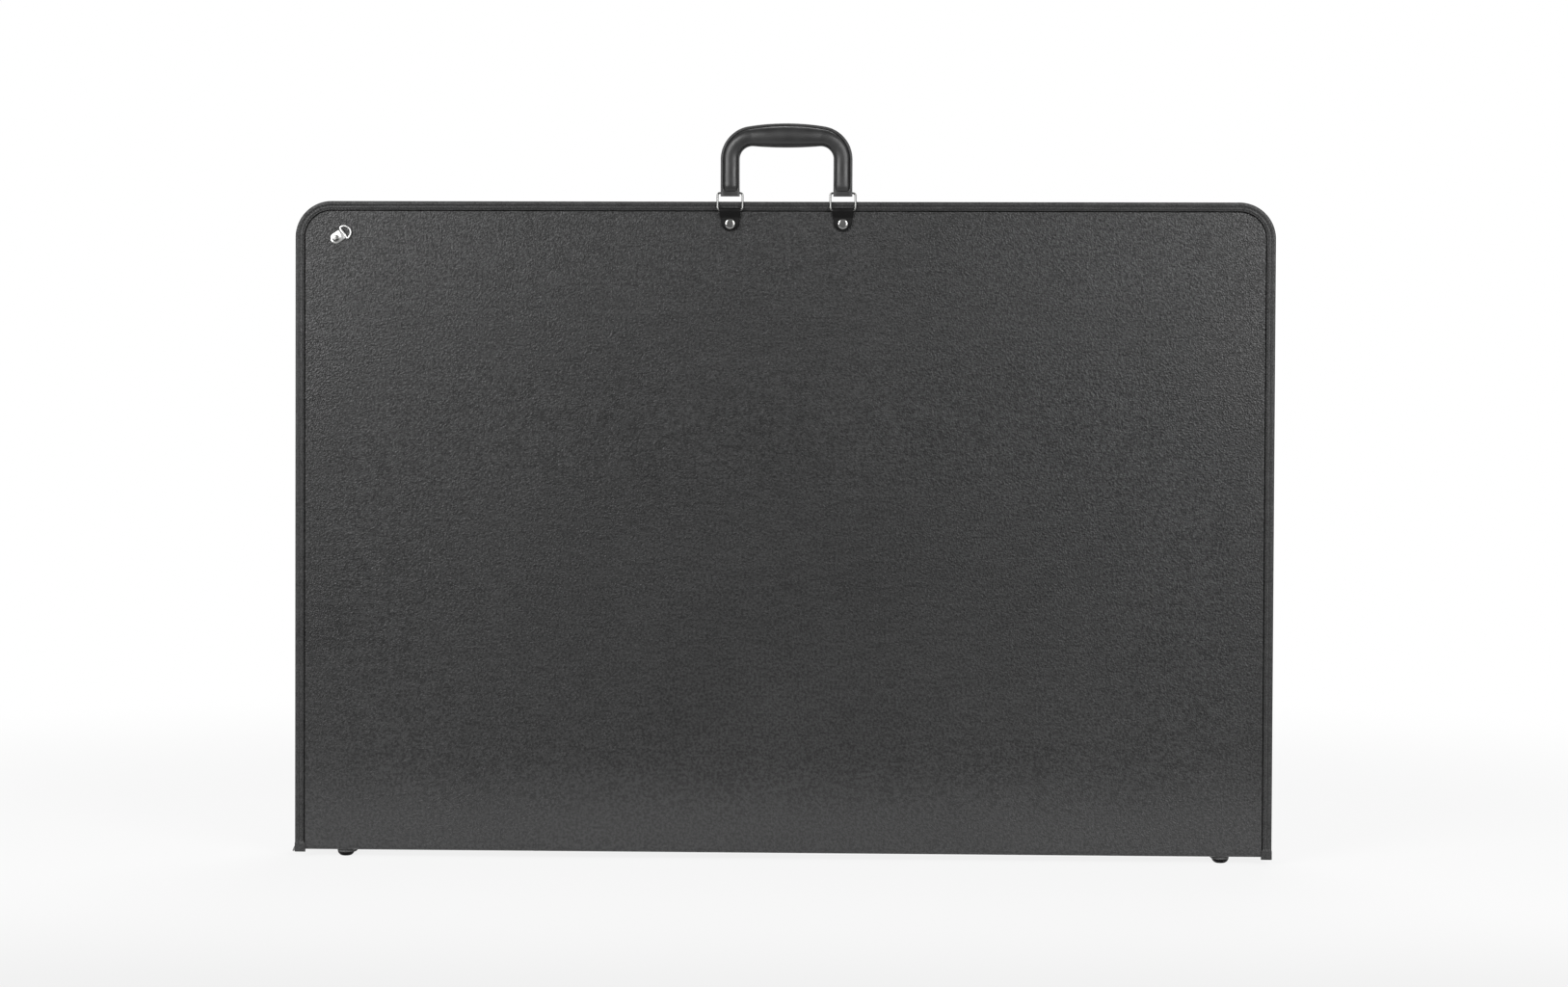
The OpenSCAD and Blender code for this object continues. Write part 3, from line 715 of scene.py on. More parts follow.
# %% [markdown]
# ## Spine and creases
# The same leathercloth runs under the spine, folds over its ends, and turns up into both panels.
# The turns are the case's hinges. Inside, the lining is turned over the boards' raw edges, or
# these would show as pale lines in the open case.

# %% The spine and the two creases
END_TURN = 0.25 * MM
# The lining turned over the boards' edges: its thickness, soft edge and overlap
TURN_T, TURN_SOFT, LAP = 0.3 * MM, 0.06 * MM, 0.02 * MM
SPINE_SOFT = 0.2 * MM
# Steps round the crease, and along the crease and the spine
CREASE_STEPS, CREASE_ROWS, SPINE_ROWS = 10, 60, 40
SPINE_NAMES = {"cover": "spine_skin", "board": "spine_stiffener", "lining": "spine_inside"}


def bar(half, ys, zs, soft, rows):
    """A long flat bar with soft edges, swept along X between two depths and two heights."""
    (y0, y1), (z0, z1) = sorted(ys), zs
    section = [(y0, z0 + soft), (y0 + soft, z0), (y1 - soft, z0), (y1, z0 + soft),
               (y1, z1 - soft), (y1 - soft, z1), (y0 + soft, z1), (y0, z1 - soft)]
    return loft([[Vector((x, y, z)) for y, z in section] for x in spread(-half, half, rows)])


def end_flap(side):
    """The skin turned up over one end of the spine's board."""
    x = side * (SPINE_END + END_TURN / 2)
    ring = [(-SPINE_HALF, FOOT_H), (SPINE_HALF, FOOT_H),
            (SPINE_HALF, FOOT_H + PANEL_T), (-SPINE_HALF, FOOT_H + PANEL_T)]
    return loft([[Vector((x + d * END_TURN / 2, y, z)) for y, z in ring] for d in (-1, 1)])


def crease(side, outer, inner):
    """A quarter turn of cloth between two radii, from the spine up to a panel."""
    turn = spread(0, math.pi / 2, CREASE_STEPS)
    ring = [(outer * math.sin(a), outer * math.cos(a)) for a in turn]
    ring += [(inner * math.sin(a), inner * math.cos(a)) for a in reversed(turn)]
    return loft([[Vector((x, side * (SPINE_HALF + out), FOOT_H + FOLD_R - down))
                  for out, down in ring] for x in spread(-SPINE_END, SPINE_END, CREASE_ROWS)])


for layer, (material, near, far) in LAYERS.items():
    parts = [bar(SPINE_END, (-SPINE_HALF, SPINE_HALF), (FOOT_H + near, FOOT_H + far),
                 SPINE_SOFT, SPINE_ROWS)]
    if layer == "cover":
        parts += [end_flap(-1), end_flap(1)]
    make(SPINE_NAMES[layer], join(parts), material, "spine", layer, ["spine_" + layer], 30)
seam = FOLD_R - COVER_T
for panel, side in PANELS.items():
    start = (0, side * SPINE_HALF, FOOT_H)
    skin = make(panel + "_crease_skin", crease(side, FOLD_R, seam), cover_finish, None,
                "cover", [panel + "_crease"], 60)
    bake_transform(skin)
    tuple(start)
    inside = make(panel + "_crease_lining", crease(side, seam, seam - LINING_T), lining_finish,
                  None, "lining", (), 60)
    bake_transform(inside)
    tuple(start)
    edge = bar(HALF_W - BINDING_T, (side * (FACE - COVER_T), side * (FACE - PANEL_T)),
               (COVER_LOW - TURN_T, COVER_LOW + LAP), TURN_SOFT, CREASE_ROWS)
    make(panel + "_lining_turn", edge, lining_finish, panel + "_panel", "lining")
    edge = bar(SPINE_END, (side * (SPINE_HALF - LAP), side * (SPINE_HALF + TURN_T)),
               (FOOT_H + COVER_T, FOOT_H + PANEL_T), TURN_SOFT, CREASE_ROWS)
    make(panel + "_spine_turn", edge, lining_finish, "spine", "lining")

# %% [markdown]
# ## Zip
# The coil zip closes the two panels in the middle of the case's depth. Each row of teeth is a
# nylon coil sewn to its tape: from outside it reads as a row of ribs whose round heads reach past
# the middle, between the heads of the other row. Teeth inside the slider stay on their own side.

# %% Zip teeth and their cords
TEETH_PITCH = 2.0 * MM
TEETH_SIDES = 6
ZIP_IN = BINDING_W + TAPE_T / 2
TEETH_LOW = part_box("front_zip_teeth")[0].z
SLIDER_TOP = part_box("zip_slider")[1].z
# Each tooth's sections in mm: distance from the middle, half height, half width along the row
TOOTH = [(3.9, 0.7, 0.30), (3.2, 1.1, 0.42), (1.4, 1.1, 0.46), (0.5, 1.15, 0.56),
         (-0.45, 1.0, 0.54), (-0.75, 0.45, 0.2)]
# Inside the slider a tooth stands back, but not its root, and keeps off the middle
TOOTH_ROOT, PARTED, PARTED_LEAST = 3, 1.5 * MM, 0.55 * MM
# The cord's section in mm: in from the line, and distance from the middle
CORD = [(-0.4, 4.05), (-0.55, 3.6), (-0.4, 2.6), (-0.2, 1.6), (0.2, 1.6), (0.4, 2.6), (0.55, 3.6),
        (0.4, 4.05)]
CORD_STEPS = 400


def teeth(side):
    """One row of the coil, each tooth turned with the edge's line."""
    total = edge_length(ZIP_IN, TEETH_LOW)
    count = int(total / TEETH_PITCH)
    parts = []
    for i in range(count):
        s = (i + 0.5 + 0.25 * side) * total / count
        (x, z), _, _ = edge_at(s, ZIP_IN, TEETH_LOW)
        parted = x < 0 and z < SLIDER_TOP
        rings = []
        for out, high, wide in TOOTH:
            y = out * MM
            if parted:
                y = max(y + (0 if out > TOOTH_ROOT else PARTED), PARTED_LEAST)
            section = [(high * MM * math.cos(a), side * y, wide * MM * math.sin(a))
                       for a in circle(TEETH_SIDES, 0.5)]
            rings.append(edge_ring(s, ZIP_IN, TEETH_LOW, section))
        parts.append(loft(rings))
    return join(parts)


def cord(side):
    """The thick woven edge of the tape on which the coil is sewn."""
    section = [(u * MM, side * y * MM, 0) for u, y in CORD]
    return edge_sweep(ZIP_IN, TEETH_LOW, section, CORD_STEPS)


for panel, side in PANELS.items():
    make(panel + "_coil", teeth(side), teeth_finish, panel + "_panel", "teeth",
         [panel + "_zip_teeth"])
    make(panel + "_coil_cord", cord(side), tape_finish, panel + "_panel", "tape")

# %% [markdown]
# ## Wires
# The handle's rings, the zip pull and the strap rings are bent from round wire. A circle is swept
# along the wire's line. The lines are straight runs and arcs, sampled finely enough to look round
# in a close view.

# %% Wires
WIRE_SIDES = 20


def arc(centre, radius, start, sweep, steps):
    """Points (x, y) on an arc, its angles in degrees."""
    angles = spread(math.radians(start), math.radians(start + sweep), steps)
    return [(centre[0] + radius * math.cos(a), centre[1] + radius * math.sin(a)) for a in angles]


def wire(line, diameter):
    """A closed round wire along points in space that lie in one plane."""
    count = len(line)
    normal = (line[count // 3] - line[0]).cross(line[2 * count // 3] - line[0]).normalized()
    rings = []
    for i, p in enumerate(line):
        along = line[(i + 1) % count] - line[i - 1]
        out = along.cross(normal).normalized()
        rings.append([p + diameter / 2 * (math.cos(a) * out + math.sin(a) * normal)
                      for a in circle(WIRE_SIDES)])
    return loft(rings, close=True)


def bow_line(half, leg, bend):
    """A bar on x, two short corners, two sides and a round end towards +y, as (x, y)."""
    line = arc((half - bend, bend), bend, -90, 90, 10)
    line += arc((0, leg), half, 0, 180, 48)
    line += arc((bend - half, bend), bend, 180, 90, 10)
    return line


RING_WIRE, RING_W, RING_H, RING_CORNER = 2 * MM, 24 * MM, 16.3 * MM, 2.4 * MM
PULL_WIRE, PULL_W, PULL_LEN, PULL_BEND = 1.6 * MM, 11.4 * MM, 24.6 * MM, 2 * MM
PULL_TILT = math.radians(30)
D_WIRE, D_LEG, CLIP_W, CLIP_LEN = 1.9 * MM, 1.2 * MM, 10.2 * MM, 8.7 * MM
D_GAP = 0.2 * MM
D_HALF = CLIP_W / 2 + D_WIRE / 2 + D_GAP
CLIP_TILT = math.radians(34.5)
CLIP_CLEAR = 0.04 * MM
# Room between a wire and the strip that goes round it
LOOP_GAP = 0.08 * MM
pin = {j["name"]: Vector(j["pos_m"]) for j in frame["joints"] if "pos_m" in j}

for where in ("left", "right"):
    centre = pin[where + "_ring_swing"]
    half = RING_W / 2 - RING_CORNER
    line = []
    for x, z, start in ((half, RING_CORNER, -90), (half, RING_H - RING_CORNER, 0),
                        (-half, RING_H - RING_CORNER, 90), (-half, RING_CORNER, 180)):
        line += arc((x, z), RING_CORNER, start, 90, 12)
    line = [centre + Vector((x, 0, z)) for x, z in line]
    make(where + "_handle_ring", wire(line, RING_WIRE), shaded_nickel_finish, where + "_ring",
         "nickel", [where + "_ring"], 60)

pull_line = [pin["pull_swing"] + Vector((-y * math.sin(PULL_TILT), x, -y * math.cos(PULL_TILT)))
             for x, y in bow_line(PULL_W / 2, PULL_LEN - PULL_W / 2, PULL_BEND)]
make("pull_wire", wire(pull_line, PULL_WIRE), shaded_nickel_finish, "pull", "nickel", ["zip_pull"], 60)

# %% [markdown]
# ## Strap rings
# A folded metal clip turns on a rivet at the top corner of each face and holds a D-shaped ring
# for a shoulder strap. The clip is one strip: it starts round under the rivet's head, goes round
# the ring's bar and comes back on itself. It is swept like a strap, with the strip's rounded tip
# coming from its width along the way.

# %% A strip of leather or metal
def strip(path, width_at, thick, soft, place):
    """Sweeps a flat strip with soft edges. path has (a, b) points in its side view."""
    rings = []
    for i, (a, b) in enumerate(path):
        before, after = path[max(0, i - 1)], path[min(len(path) - 1, i + 1)]
        da, db = after[0] - before[0], after[1] - before[1]
        size = math.hypot(da, db)
        na, nb = -db / size, da / size
        half = width_at(a, b)
        edge = min(soft, half * 0.5)
        right = [(half - edge, 1), (half - edge * 0.3, 0.7), (half, 0), (half - edge * 0.3, -0.7),
                 (half - edge, -1), (0, -1)]
        rings.append([place(w, a + na * t * thick / 2, b + nb * t * thick / 2)
                      for w, t in right + [(-w, -t) for w, t in right]])
    return loft(rings)


def clip_place(panel, side):
    """Puts clip coordinates, across, along and out of the face, into the frame."""
    rivet = pin[panel + "_clip_swivel"]
    cos, sin = math.cos(CLIP_TILT), math.sin(CLIP_TILT)

    def place(across, along, out):
        x, z = along * cos - across * sin, along * sin + across * cos
        return Vector((rivet.x - side * x, rivet.y + side * (out + CLIP_CLEAR), rivet.z + z))

    return place


# %% Clips and D-rings
CLIP_T = 0.6 * MM
BAR_UP = D_WIRE / 2 + LOOP_GAP + CLIP_T
HEAD_D, HEAD_H = 6.8 * MM, 1.8 * MM
CLIP_TIP = CLIP_W / 2
LEAST_TIP = 0.2 * MM
# Degrees round the ring's bar. Behind it the upper layer comes down: (distance from the bar,
# height in layers), until it lies flat on the lower one
CLIP_ROUND, CLIP_STEPS, CLIP_OVER = 192, ((1.9 * MM, 2.05), (2.9 * MM, 1.6)), 3.8 * MM
CLIP_SOFT, CLIP_RIM, RIVET_UP = 0.25 * MM, 0.45 * MM, 0.1 * MM
SHOULDER = 0.5
# Radius that stands for the middle point of a turned shape
POLE = 0.02 * MM


def clip_width(along, _):
    """Half the strip's width, round at the tip."""
    over = min(0, along + POLE)
    return math.sqrt(max(CLIP_TIP ** 2 - over ** 2, LEAST_TIP ** 2))


def clip_path():
    """Under layer out to the bar, round it, and back over itself to the tip."""
    ends = [-CLIP_TIP * math.cos(a) for a in spread(0, math.pi / 2, 10)]
    path = [(a, CLIP_T / 2) for a in ends + spread(0, CLIP_LEN, 8)[1:]]
    path += arc((CLIP_LEN, BAR_UP), BAR_UP - CLIP_T / 2, -90, CLIP_ROUND, 16)[1:]
    path += [(CLIP_LEN - off, CLIP_T * layers) for off, layers in CLIP_STEPS]
    over = spread(CLIP_LEN - CLIP_OVER, 0, 6) + ends[-2::-1]
    return path + [(a, CLIP_T * 1.5) for a in over]


def lathe(profile, place, steps=48):
    """Turns a profile of (radius, height) about the place's own axis."""
    return loft([[place(r * math.cos(a), r * math.sin(a), h) for a in circle(steps)]
                 for r, h in profile])


def cap_profile(radius, height, rim):
    """A rivet cap, flat in the middle with round shoulders and a rolled rim, from the middle out."""
    dome = []
    for a in spread(0, math.pi / 2, 14):
        r = (radius - rim * 0.4) * math.sin(a) ** SHOULDER
        dome.append((max(POLE, r), rim + (height - rim) * max(0, math.cos(a)) ** SHOULDER))
    return dome + [(radius - rim * 0.12, rim * 0.85), (radius, rim * 0.5),
                   (radius - rim * 0.12, rim * 0.12), (radius - rim * 0.5, 0), (POLE, 0)]


for panel, side in PANELS.items():
    place = clip_place(panel, side)
    make(panel + "_clip_plate", strip(clip_path(), clip_width, CLIP_T, CLIP_SOFT, place),
         lit_nickel_finish, panel + "_clip", "nickel", [panel + "_clip"], 50)
    line = [place(x, CLIP_LEN + y, BAR_UP - CLIP_CLEAR) for x, y in bow_line(D_HALF, D_LEG, D_LEG)]
    make(panel + "_d_wire", wire(line, D_WIRE), lit_nickel_finish, panel + "_d_ring", "nickel",
         [panel + "_d_ring"], 60)
    head = [(r, 2 * CLIP_T + RIVET_UP + h) for r, h in cap_profile(HEAD_D / 2, HEAD_H, CLIP_RIM)]
    make(panel + "_clip_head", lathe(head, place), shaded_nickel_finish, panel + "_panel", "nickel",
         [panel + "_clip_rivet"], 50)

# %% [markdown]
# ## Handle straps
# Each strap is one strip of black leather: it lies on the cover, steps over the binding, goes
# round the ring's lower bar and comes back down over itself. One rivet holds both layers. Its
# tip is cut round about the rivet.

# %% Handle straps and their rivets
STRAP_T, STRAP_W, STRAP_TIP_W, STRAP_LEN = 1.2 * MM, 20 * MM, 17.6 * MM, 20 * MM
RIVET_DOWN = 13 * MM
RING_OFF = -pin["left_ring_swing"].y - FACE
LOOP_R = RING_WIRE / 2 + LOOP_GAP + STRAP_T / 2
STRAP_LEAST, STRAP_SOFT = 0.4 * MM, 0.35 * MM
# Heights over the ring's bar: the lower layer's flat end, its rise, and the upper layer's way down
STRAP_FLAT, STRAP_RISE, STRAP_FALL = -3.4 * MM, (-3.2 * MM, -0.8 * MM), (-0.2 * MM, -7.6 * MM)
STRAP_DOWN = -7.9 * MM
CAP_D, CAP_H, CAP_RIM = 10 * MM, 2.2 * MM, 0.7 * MM


def strap_width(_, v):
    """Half the strap's width: round at the tip and widest at the ring."""
    tip = STRAP_TIP_W / 2
    turn = tip - STRAP_LEN
    if v < turn:
        return math.sqrt(max(tip ** 2 - (turn - v) ** 2, STRAP_LEAST ** 2))
    return mix(tip, STRAP_W / 2, ease((v - turn) / (STRAP_RISE[0] - turn)))


def strap_path():
    """Side view: height off the cover, and height over the ring's bar."""
    t = STRAP_T
    tips = [-STRAP_LEN + STRAP_TIP_W / 2 * (1 - math.cos(a)) for a in spread(0, math.pi / 2, 12)]
    path = [(t / 2, v) for v in tips + spread(tips[-1], STRAP_FLAT, 6)[1:]]
    path += [(mix(t / 2, RING_OFF - LOOP_R, ease(k)), mix(*STRAP_RISE, k))
             for k in spread(0, 1, 5)[1:]]
    path += arc((RING_OFF, 0), LOOP_R, 180, -180, 18)
    path += [(mix(RING_OFF + LOOP_R, t * 1.5, ease(k) * 0.97 + 0.03 * k), mix(*STRAP_FALL, k))
             for k in spread(0, 1, 12)[1:]]
    return path + [(t * 1.5, v) for v in spread(STRAP_DOWN, tips[-1], 3) + tips[-2::-1]]


caps = []
for where in ("left", "right"):
    centre = pin[where + "_ring_swing"]

    def strap_place(across, h, v, centre=centre):
        """Across the strap, out from the cover, and up from the ring's bar."""
        return Vector((centre.x + across, -FACE - h, centre.z + v))

    def cap_place(a, b, h, centre=centre):
        """About the rivet's axis, and out from the two layers of the strap."""
        return Vector((centre.x + a, -FACE - 2 * STRAP_T - h, centre.z - RIVET_DOWN + b))

    make(where + "_loop_strap", strip(strap_path(), strap_width, STRAP_T, STRAP_SOFT, strap_place),
         strap_finish, "front_panel", "strap", [where + "_strap"], 50)
    caps.append(lathe(cap_profile(CAP_D / 2, CAP_H, CAP_RIM), cap_place))
make("strap_rivet_caps", join(caps), nickel_finish, "front_panel", "nickel", ["strap_rivets"], 50)

# %% [markdown]
# ## Handle
# The handle is one moulding of soft vinyl. Flat legs carry a rounded rib that starts in a tongue
# above the ring, grows up the legs and turns into the thick grip. A flat rim with a groove beside
# it runs round the outside. The section is worked out at each station from the width of the leg,
# the width of the rims and the depth of the rib there, and lofted round one half and back.

# %% The handle's line
HANDLE_W, HANDLE_H, LEG_W, LEG_END = 126 * MM, 66.3 * MM, 18.2 * MM, 3.1 * MM
GRIP_T, GRIP_D, RIB_D, RIM_D = 22.8 * MM, 21 * MM, 13 * MM, 6 * MM
RIM_W, INNER_RIM, GRIP_RIM, RIB_FADE = 2.7 * MM, 1.6 * MM, 1 * MM, 2.5 * MM
R_OUT, R_IN, WAIST = 32 * MM, 12.5 * MM, 0.2 * MM
CROWN_A, BELLY_A = math.radians(9), math.radians(4.6)
GROOVE_W, GROOVE_H = 0.7 * MM, 0.75 * MM
GRIP_START = 0.8 * GRIP_D
# Where on the leg the rib starts, and the share of the leg over which it rises
RIB_FROM, RIB_RISE = 0.12, 0.17
# Steps of the leg, the corner and half the grip
LEG_STEPS, TURN_STEPS, GRIP_STEPS = 44, 30, 26

OUT_CX = R_OUT - HANDLE_W / 2
CROWN_X = R_OUT * math.sin(CROWN_A) - OUT_CX
CROWN_RISE = math.tan(CROWN_A) * CROWN_X / 2
OUT_CZ = HANDLE_H - CROWN_RISE - R_OUT * math.cos(CROWN_A)
IN_X = LEG_W - WAIST - HANDLE_W / 2
IN_CX = IN_X + R_IN
BELLY_X = -IN_CX - R_IN * math.sin(BELLY_A)
BELLY_DROP = math.tan(BELLY_A) * BELLY_X / 2
IN_CZ = HANDLE_H - GRIP_T + BELLY_DROP - R_IN * math.cos(BELLY_A)


def round_rise(t):
    """0 to 1 along a quarter circle, steep at the start."""
    t = min(1, max(0, t))
    return math.sqrt(1 - (1 - t) ** 2)


def leg_station(t):
    """Outer point, inner point, rims' widths, depth of the rib, and how deep the groove is."""
    rise = round_rise((t - RIB_FROM) / RIB_RISE)
    outer = (-HANDLE_W / 2, mix(-LEG_END, OUT_CZ, t))
    inner = (IN_X + WAIST * max(0, 1 - 2 * t), mix(-LEG_END, IN_CZ, t))
    fade = RIB_FADE * (1 - rise)
    return outer, inner, INNER_RIM + fade, RIM_W + fade, mix(RIM_D, RIB_D, rise), rise


def corner_station(t):
    """The same round the corner, each edge about its own centre."""
    a = math.pi - t * (math.pi / 2 - CROWN_A)
    b = math.pi - t * (math.pi / 2 + BELLY_A)
    outer = (OUT_CX + R_OUT * math.cos(a), OUT_CZ + R_OUT * math.sin(a))
    inner = (IN_CX + R_IN * math.cos(b), IN_CZ + R_IN * math.sin(b))
    return outer, inner, mix(INNER_RIM, GRIP_RIM, t), RIM_W, mix(RIB_D, GRIP_START, ease(t)), 1


def grip_station(t):
    """The same along half of the grip, whose crown and belly are slightly bowed."""
    bulge = 1 - (1 - t) ** 2
    outer = (-CROWN_X * (1 - t), HANDLE_H - CROWN_RISE * (1 - bulge))
    inner = (-BELLY_X * (1 - t), HANDLE_H - GRIP_T + BELLY_DROP * (1 - bulge))
    return outer, inner, GRIP_RIM, RIM_W, mix(GRIP_START, GRIP_D, bulge), 1


stations = [leg_station(t ** 1.25) for t in spread(0, 1, LEG_STEPS)]
stations += [corner_station(t) for t in spread(0, 1, TURN_STEPS)[1:]]
stations += [grip_station(t) for t in spread(0, 1, GRIP_STEPS)[1:]]
print("handle stations:", len(stations))

# %% The handle's section and loft
RIB_STEPS = 36
RIB_POWER = 2.1
BEVEL_W = 0.8 * MM
SOCKET, SOCKET_DEPTH = 0.86, 1.2 * MM
HANDLE_AT = pin["handle_swing"].copy()
HANDLE_AT.x = (HANDLE_AT.x + pin["right_ring_swing"].x) / 2


def handle_section(width, inner, outer, depth, groove):
    """Half of the section, from the inner edge to the outer one: (across, depth)."""
    half, bevel = RIM_D / 2, BEVEL_W
    rib_w = width - inner - outer
    rib_h = (depth - RIM_D) / 2
    dip = GROOVE_H * groove
    points = [(0, 0), (0, half - bevel), (bevel * 0.3, half - bevel * 0.3), (bevel, half)]
    points.append((inner - GROOVE_W * 0.4, half))
    for a in spread(0, math.pi, RIB_STEPS):
        cos, sin = math.cos(a), max(0, math.sin(a))
        across = (1 - math.copysign(abs(cos) ** (2 / RIB_POWER), cos)) / 2
        drop = dip * math.exp(-(across * rib_w / GROOVE_W) ** 2) * 0.4
        drop += dip * math.exp(-((1 - across) * rib_w / GROOVE_W) ** 2)
        points.append((inner + across * rib_w, half + sin ** (2 / RIB_POWER) * rib_h - drop))
    points.append((width - outer + GROOVE_W * 0.5, half))
    points += [(width - bevel * 1.3, half), (width - bevel * 0.4, half - bevel * 0.25),
               (width, half - bevel), (width, 0)]
    return points


def handle_ring(station, side):
    """The whole section of a station, on the left or right half of the handle."""
    outer, inner, inner_rim, outer_rim, depth, groove = station
    ox, oz = outer[0] - inner[0], outer[1] - inner[1]
    width = math.hypot(ox, oz)
    half = handle_section(width, inner_rim, outer_rim, depth, groove)
    around = half + [(a, -d) for a, d in reversed(half[1:-1])]
    return [HANDLE_AT + Vector((side * (inner[0] + ox / width * a), d, inner[1] + oz / width * a))
            for a, d in around]


def hollow(ring):
    """Rings of the shallow socket in the end of a leg, from its floor out to the end itself."""
    core = sum(ring, Vector()) / len(ring)
    mouth = [core + (p - core) * SOCKET for p in ring]
    return [[p + Vector((0, 0, SOCKET_DEPTH)) for p in mouth], mouth, ring]


rings = [handle_ring(s, 1) for s in stations]
rings += [handle_ring(s, -1) for s in reversed(stations[:-1])]
rings = hollow(rings[0]) + rings[1:-1] + hollow(rings[-1])[::-1]
make("carry_handle", loft(rings), handle_finish, "handle", "handle", ["handle"], 60)

# %% [markdown]
# ## Feet, washers and small metal
# The feet are domed studs whose shanks go through the spine and are riveted over washers inside.
# The remaining small pieces keep the construction model's own shapes, which are true already. The
# zip tapes get the woven finish and the rest a plated one, and the slider, the washers and the zip
# stops a small bevel as well, so that their edges catch light as real ones do.

# %% Feet and their rivets
FOOT_D, FOOT_FLAT = 16.7 * MM, 6 * MM
foot_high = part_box("feet")[1]
FOOT_X = foot_high.x - FOOT_D / 2
FOOT_Y = foot_high.y - FOOT_D / 2
WASHER_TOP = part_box("foot_washers")[1].z
# Radius and height of a shank's riveted head over its washer
STUD = [(POLE, 0.9 * MM), (1.4 * MM, 0.75 * MM), (2.2 * MM, 0.3 * MM), (2.4 * MM, 0), (POLE, 0)]
# The foot's lip under the spine: its thickness, how far it draws in, and where the side ends
LIP_T, LIP_IN, LIP_UNDER = 0.3 * MM, 0.25 * MM, 0.9 * MM


def foot_profile():
    """Radius and height: a flat on the floor, a round side, and a lip against the spine."""
    flat = FOOT_FLAT / 2
    reach = FOOT_D / 2
    side = [(flat + (reach - flat) * math.sin(a), (FOOT_H - LIP_UNDER) * (1 - math.cos(a)))
            for a in spread(0, math.pi / 2, 16)]
    lip = [(reach, FOOT_H - LIP_T), (reach - LIP_IN, FOOT_H), (POLE, FOOT_H)]
    return [(POLE, 0), (flat * 0.7, 0)] + side + lip


feet, studs = [], []
for x in (-FOOT_X, FOOT_X):
    for y in (-FOOT_Y, FOOT_Y):
        feet.append(lathe(foot_profile(), lambda a, b, h, x=x, y=y: Vector((x + a, y + b, h))))
        studs.append(lathe(STUD, lambda a, b, h, x=x, y=y: Vector((x + a, y + b, WASHER_TOP + h)), 24))
make("domed_feet", join(feet), foot_finish, "spine", "feet", ["feet"], 50)
make("foot_studs", join(studs), zinc_finish, "spine", "steel", (), 50)

# %% Carried-over nodes
# Each with its finish and the width of its bevel
KEPT = {"zip_slider": (nickel_finish, 0.35 * MM), "foot_washers": (zinc_finish, 0.15 * MM),
        "strap_rivet_backs": (zinc_finish, 0)}
for panel in PANELS:
    KEPT[panel + "_zip_tape"] = (tape_finish, 0)
    KEPT[panel + "_zip_stops"] = (zinc_finish, 0.2 * MM)
    KEPT[panel + "_clip_back"] = (zinc_finish, 0)
for name, (material, width) in KEPT.items():
    node = frame["nodes"][name]
    node.data.materials.clear()
    node.data.materials.append(material)
    if width:
        weld = node.modifiers.new("weld", "WELD")
        weld.merge_threshold = 0.01 * MM
        soften = node.modifiers.new("bevel", "BEVEL")
        soften.width = width
        soften.segments = 2
        soften.limit_method = "ANGLE"
        soften.angle_limit = math.radians(40)
print("kept", len(KEPT), "nodes")

# %% [markdown]
# ## Floor and light
# A pale floor keeps the case's soft shadow and fades to white away from it. The world is white to
# the camera and in reflections from behind, and darker on the photographer's side, as a studio
# is. Two broad lamps in front, left and right, lay the soft glows on the upper corners, and a
# third one from above and behind lights the back as well.

# %% Floor
FLOOR_SIZE = 8.0
FLOOR_WHITE = (0.86, 0.86, 0.86)
# Share of plain white that the camera sees near the case, and where it grows to the whole
FLOOR_NEAR, FLOOR_FADE = 0.85, (0.75, 1.9)
# To lamps and reflections the sheet is dark in front of the case, and white from its foot on
SHEET_DARK, SHEET_FRONT = 0.15, (-0.8, -0.25)
WHITE = (1, 1, 1, 1)


def switch(factor, low, high):
    """Shows one shader where the factor is 0 and another where it is 1."""
    made = add(factor.id_data, "MixShader")
    for into, source in enumerate((factor, low.outputs[0], high.outputs[0])):
        link(source, made, into)
    return made


def floor_finish():
    """Takes the case's shadow, and is mixed with plain white for the camera and in reflections."""
    material, tree = finish("pale_floor", FLOOR_WHITE, 0.9, specular=0.0)
    rays = add(tree, "LightPath").outputs
    sheet = along_axis(tree, "Y", SHEET_FRONT, SHEET_DARK)
    paint(ramp(sheet, (0, 0, 0), FLOOR_WHITE, (0, 1)), "Base Color")
    shown = combine("MULTIPLY", rays["Is Glossy Ray"], sheet)
    shown = combine("MAXIMUM", rays["Is Camera Ray"], shown)
    shown = combine("MAXIMUM", shown, rays["Is Transmission Ray"])
    far = add(tree, "VectorMath", operation="LENGTH")
    link(add(tree, "TexCoord").outputs["Object"], far, 0)
    share = combine("MULTIPLY", soft_rise(far.outputs["Value"], FLOOR_FADE, FLOOR_NEAR), shown)
    both = switch(share, shader_of(tree), add(tree, "Emission", Color=WHITE, Strength=1.0))
    link(both.outputs[0], tree.nodes["Material Output"], "Surface")
    return material


reach = FLOOR_SIZE / 2
plane = bpy.data.meshes.new("floor")
plane.from_pydata([(-reach, -reach, 0), (reach, -reach, 0), (reach, reach, 0), (-reach, reach, 0)],
                  [], [(0, 1, 2, 3)])
plane.materials.append(floor_finish())
floor = show("floor", plane)
print("floor", FLOOR_SIZE, "m")

# %% World
AMBIENT = 0.12
ROOM, ROOM_FADE = 0.15, (0.2, 1.0)


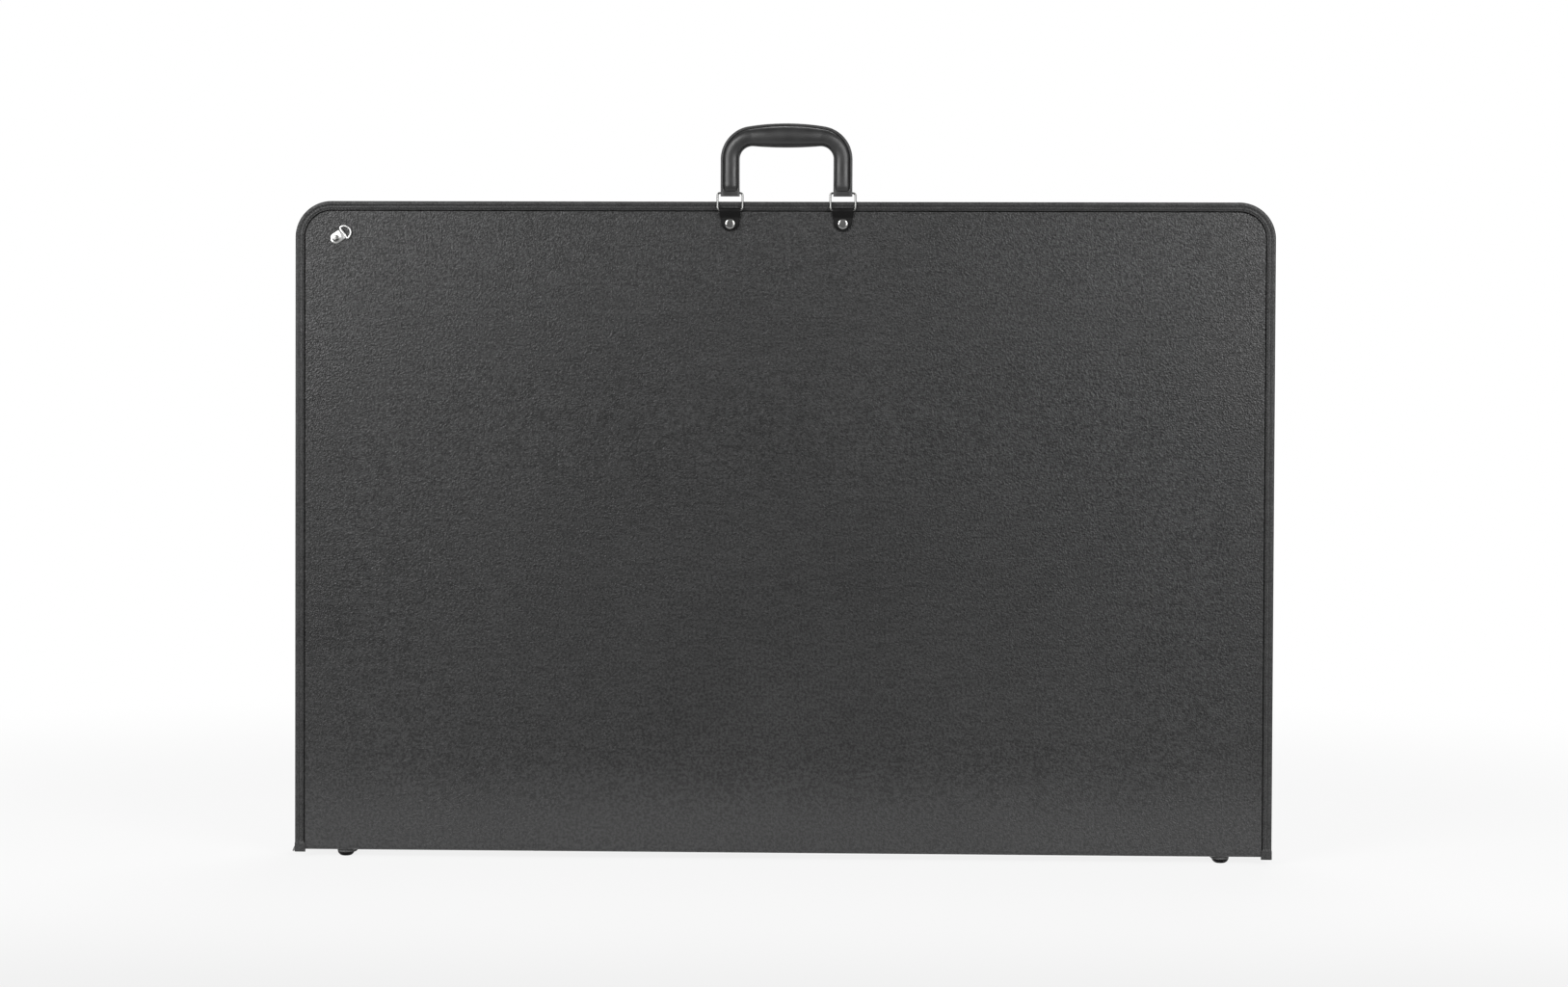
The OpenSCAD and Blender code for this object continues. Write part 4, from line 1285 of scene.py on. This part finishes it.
def studio_world():
    """Dim light all round, a bright back in reflections, and white to the camera."""
    world = bpy.data.worlds.new("studio")
    world.use_nodes = True
    tree = world.node_tree
    tree.nodes.clear()
    rays = add(tree, "LightPath").outputs
    mirrored = add(tree, "Background", Color=WHITE)
    link(along_axis(tree, "Y", ROOM_FADE, ROOM, "Generated"), mirrored, "Strength")
    white = add(tree, "Background", Color=WHITE, Strength=1.0)
    seen = add(tree, "Background", Color=WHITE, Strength=AMBIENT)
    for ray, shown in (("Glossy", mirrored), ("Transmission", white), ("Camera", white)):
        seen = switch(rays[f"Is {ray} Ray"], seen, shown)
    link(seen.outputs[0], add(tree, "OutputWorld"), "Surface")
    return world


bpy.context.scene.world = studio_world()
print("world: ambient", AMBIENT, "room", ROOM)

# %% Lamps
# Each lamp's place, where it points, its size in metres and its power in watts
LAMPS = {
    "left": ((-1.5, -2.1, 1.25), (-0.35, 0, 0.5), 1.4, 48),
    "right": ((1.4, -2.1, 1.1), (0.3, 0, 0.45), 1.3, 40),
    "overhead": ((0.3, 1.6, 2.4), (0, 0, 0.3), 1.6, 34),
}
for name, (stand, aim, size, power) in LAMPS.items():
    lamp = bpy.data.lights.new(name, "AREA")
    lamp.shape, lamp.size, lamp.energy = "SQUARE", size, power
    holder = show(name + "_lamp", lamp)
    holder.location = stand
    holder.rotation_euler = (Vector(aim) - Vector(stand)).to_track_quat("-Z", "Y").to_euler()
    print(name, "lamp", power, "W")

# %% [markdown]
# ## Camera
# The photograph was taken from a little below the handle and a little right of the middle. The
# camera's place, turn and lens were worked out from where the panel's four corners, the feet, the
# handle and the rivets are in the picture, for a distance of 2.8 m.

# %% Camera
PHOTO_W = 1627
FOCAL_PX = 3002
CAMERA_AT = Vector((0.087, -2.8, 0.407))
YAW, PITCH, ROLL = (math.radians(a) for a in (-1.76, -1.105, 0.24))
ahead = Vector((math.sin(YAW) * math.cos(PITCH), math.cos(YAW) * math.cos(PITCH), math.sin(PITCH)))
level = Vector((math.cos(YAW), -math.sin(YAW), 0))
upright = level.cross(ahead)
right = level * math.cos(ROLL) + upright * math.sin(ROLL)
up = upright * math.cos(ROLL) - level * math.sin(ROLL)
camera = show("camera", bpy.data.cameras.new("camera"))
camera.data.lens = FOCAL_PX / PHOTO_W * camera.data.sensor_width
axes = Matrix((right, up, -ahead)).transposed().to_4x4()
camera.matrix_world = Matrix.Translation(CAMERA_AT) @ axes
bpy.context.scene.camera = camera
bpy.context.scene.view_settings.view_transform = "Standard"
print("lens", round(camera.data.lens, 1), "mm")
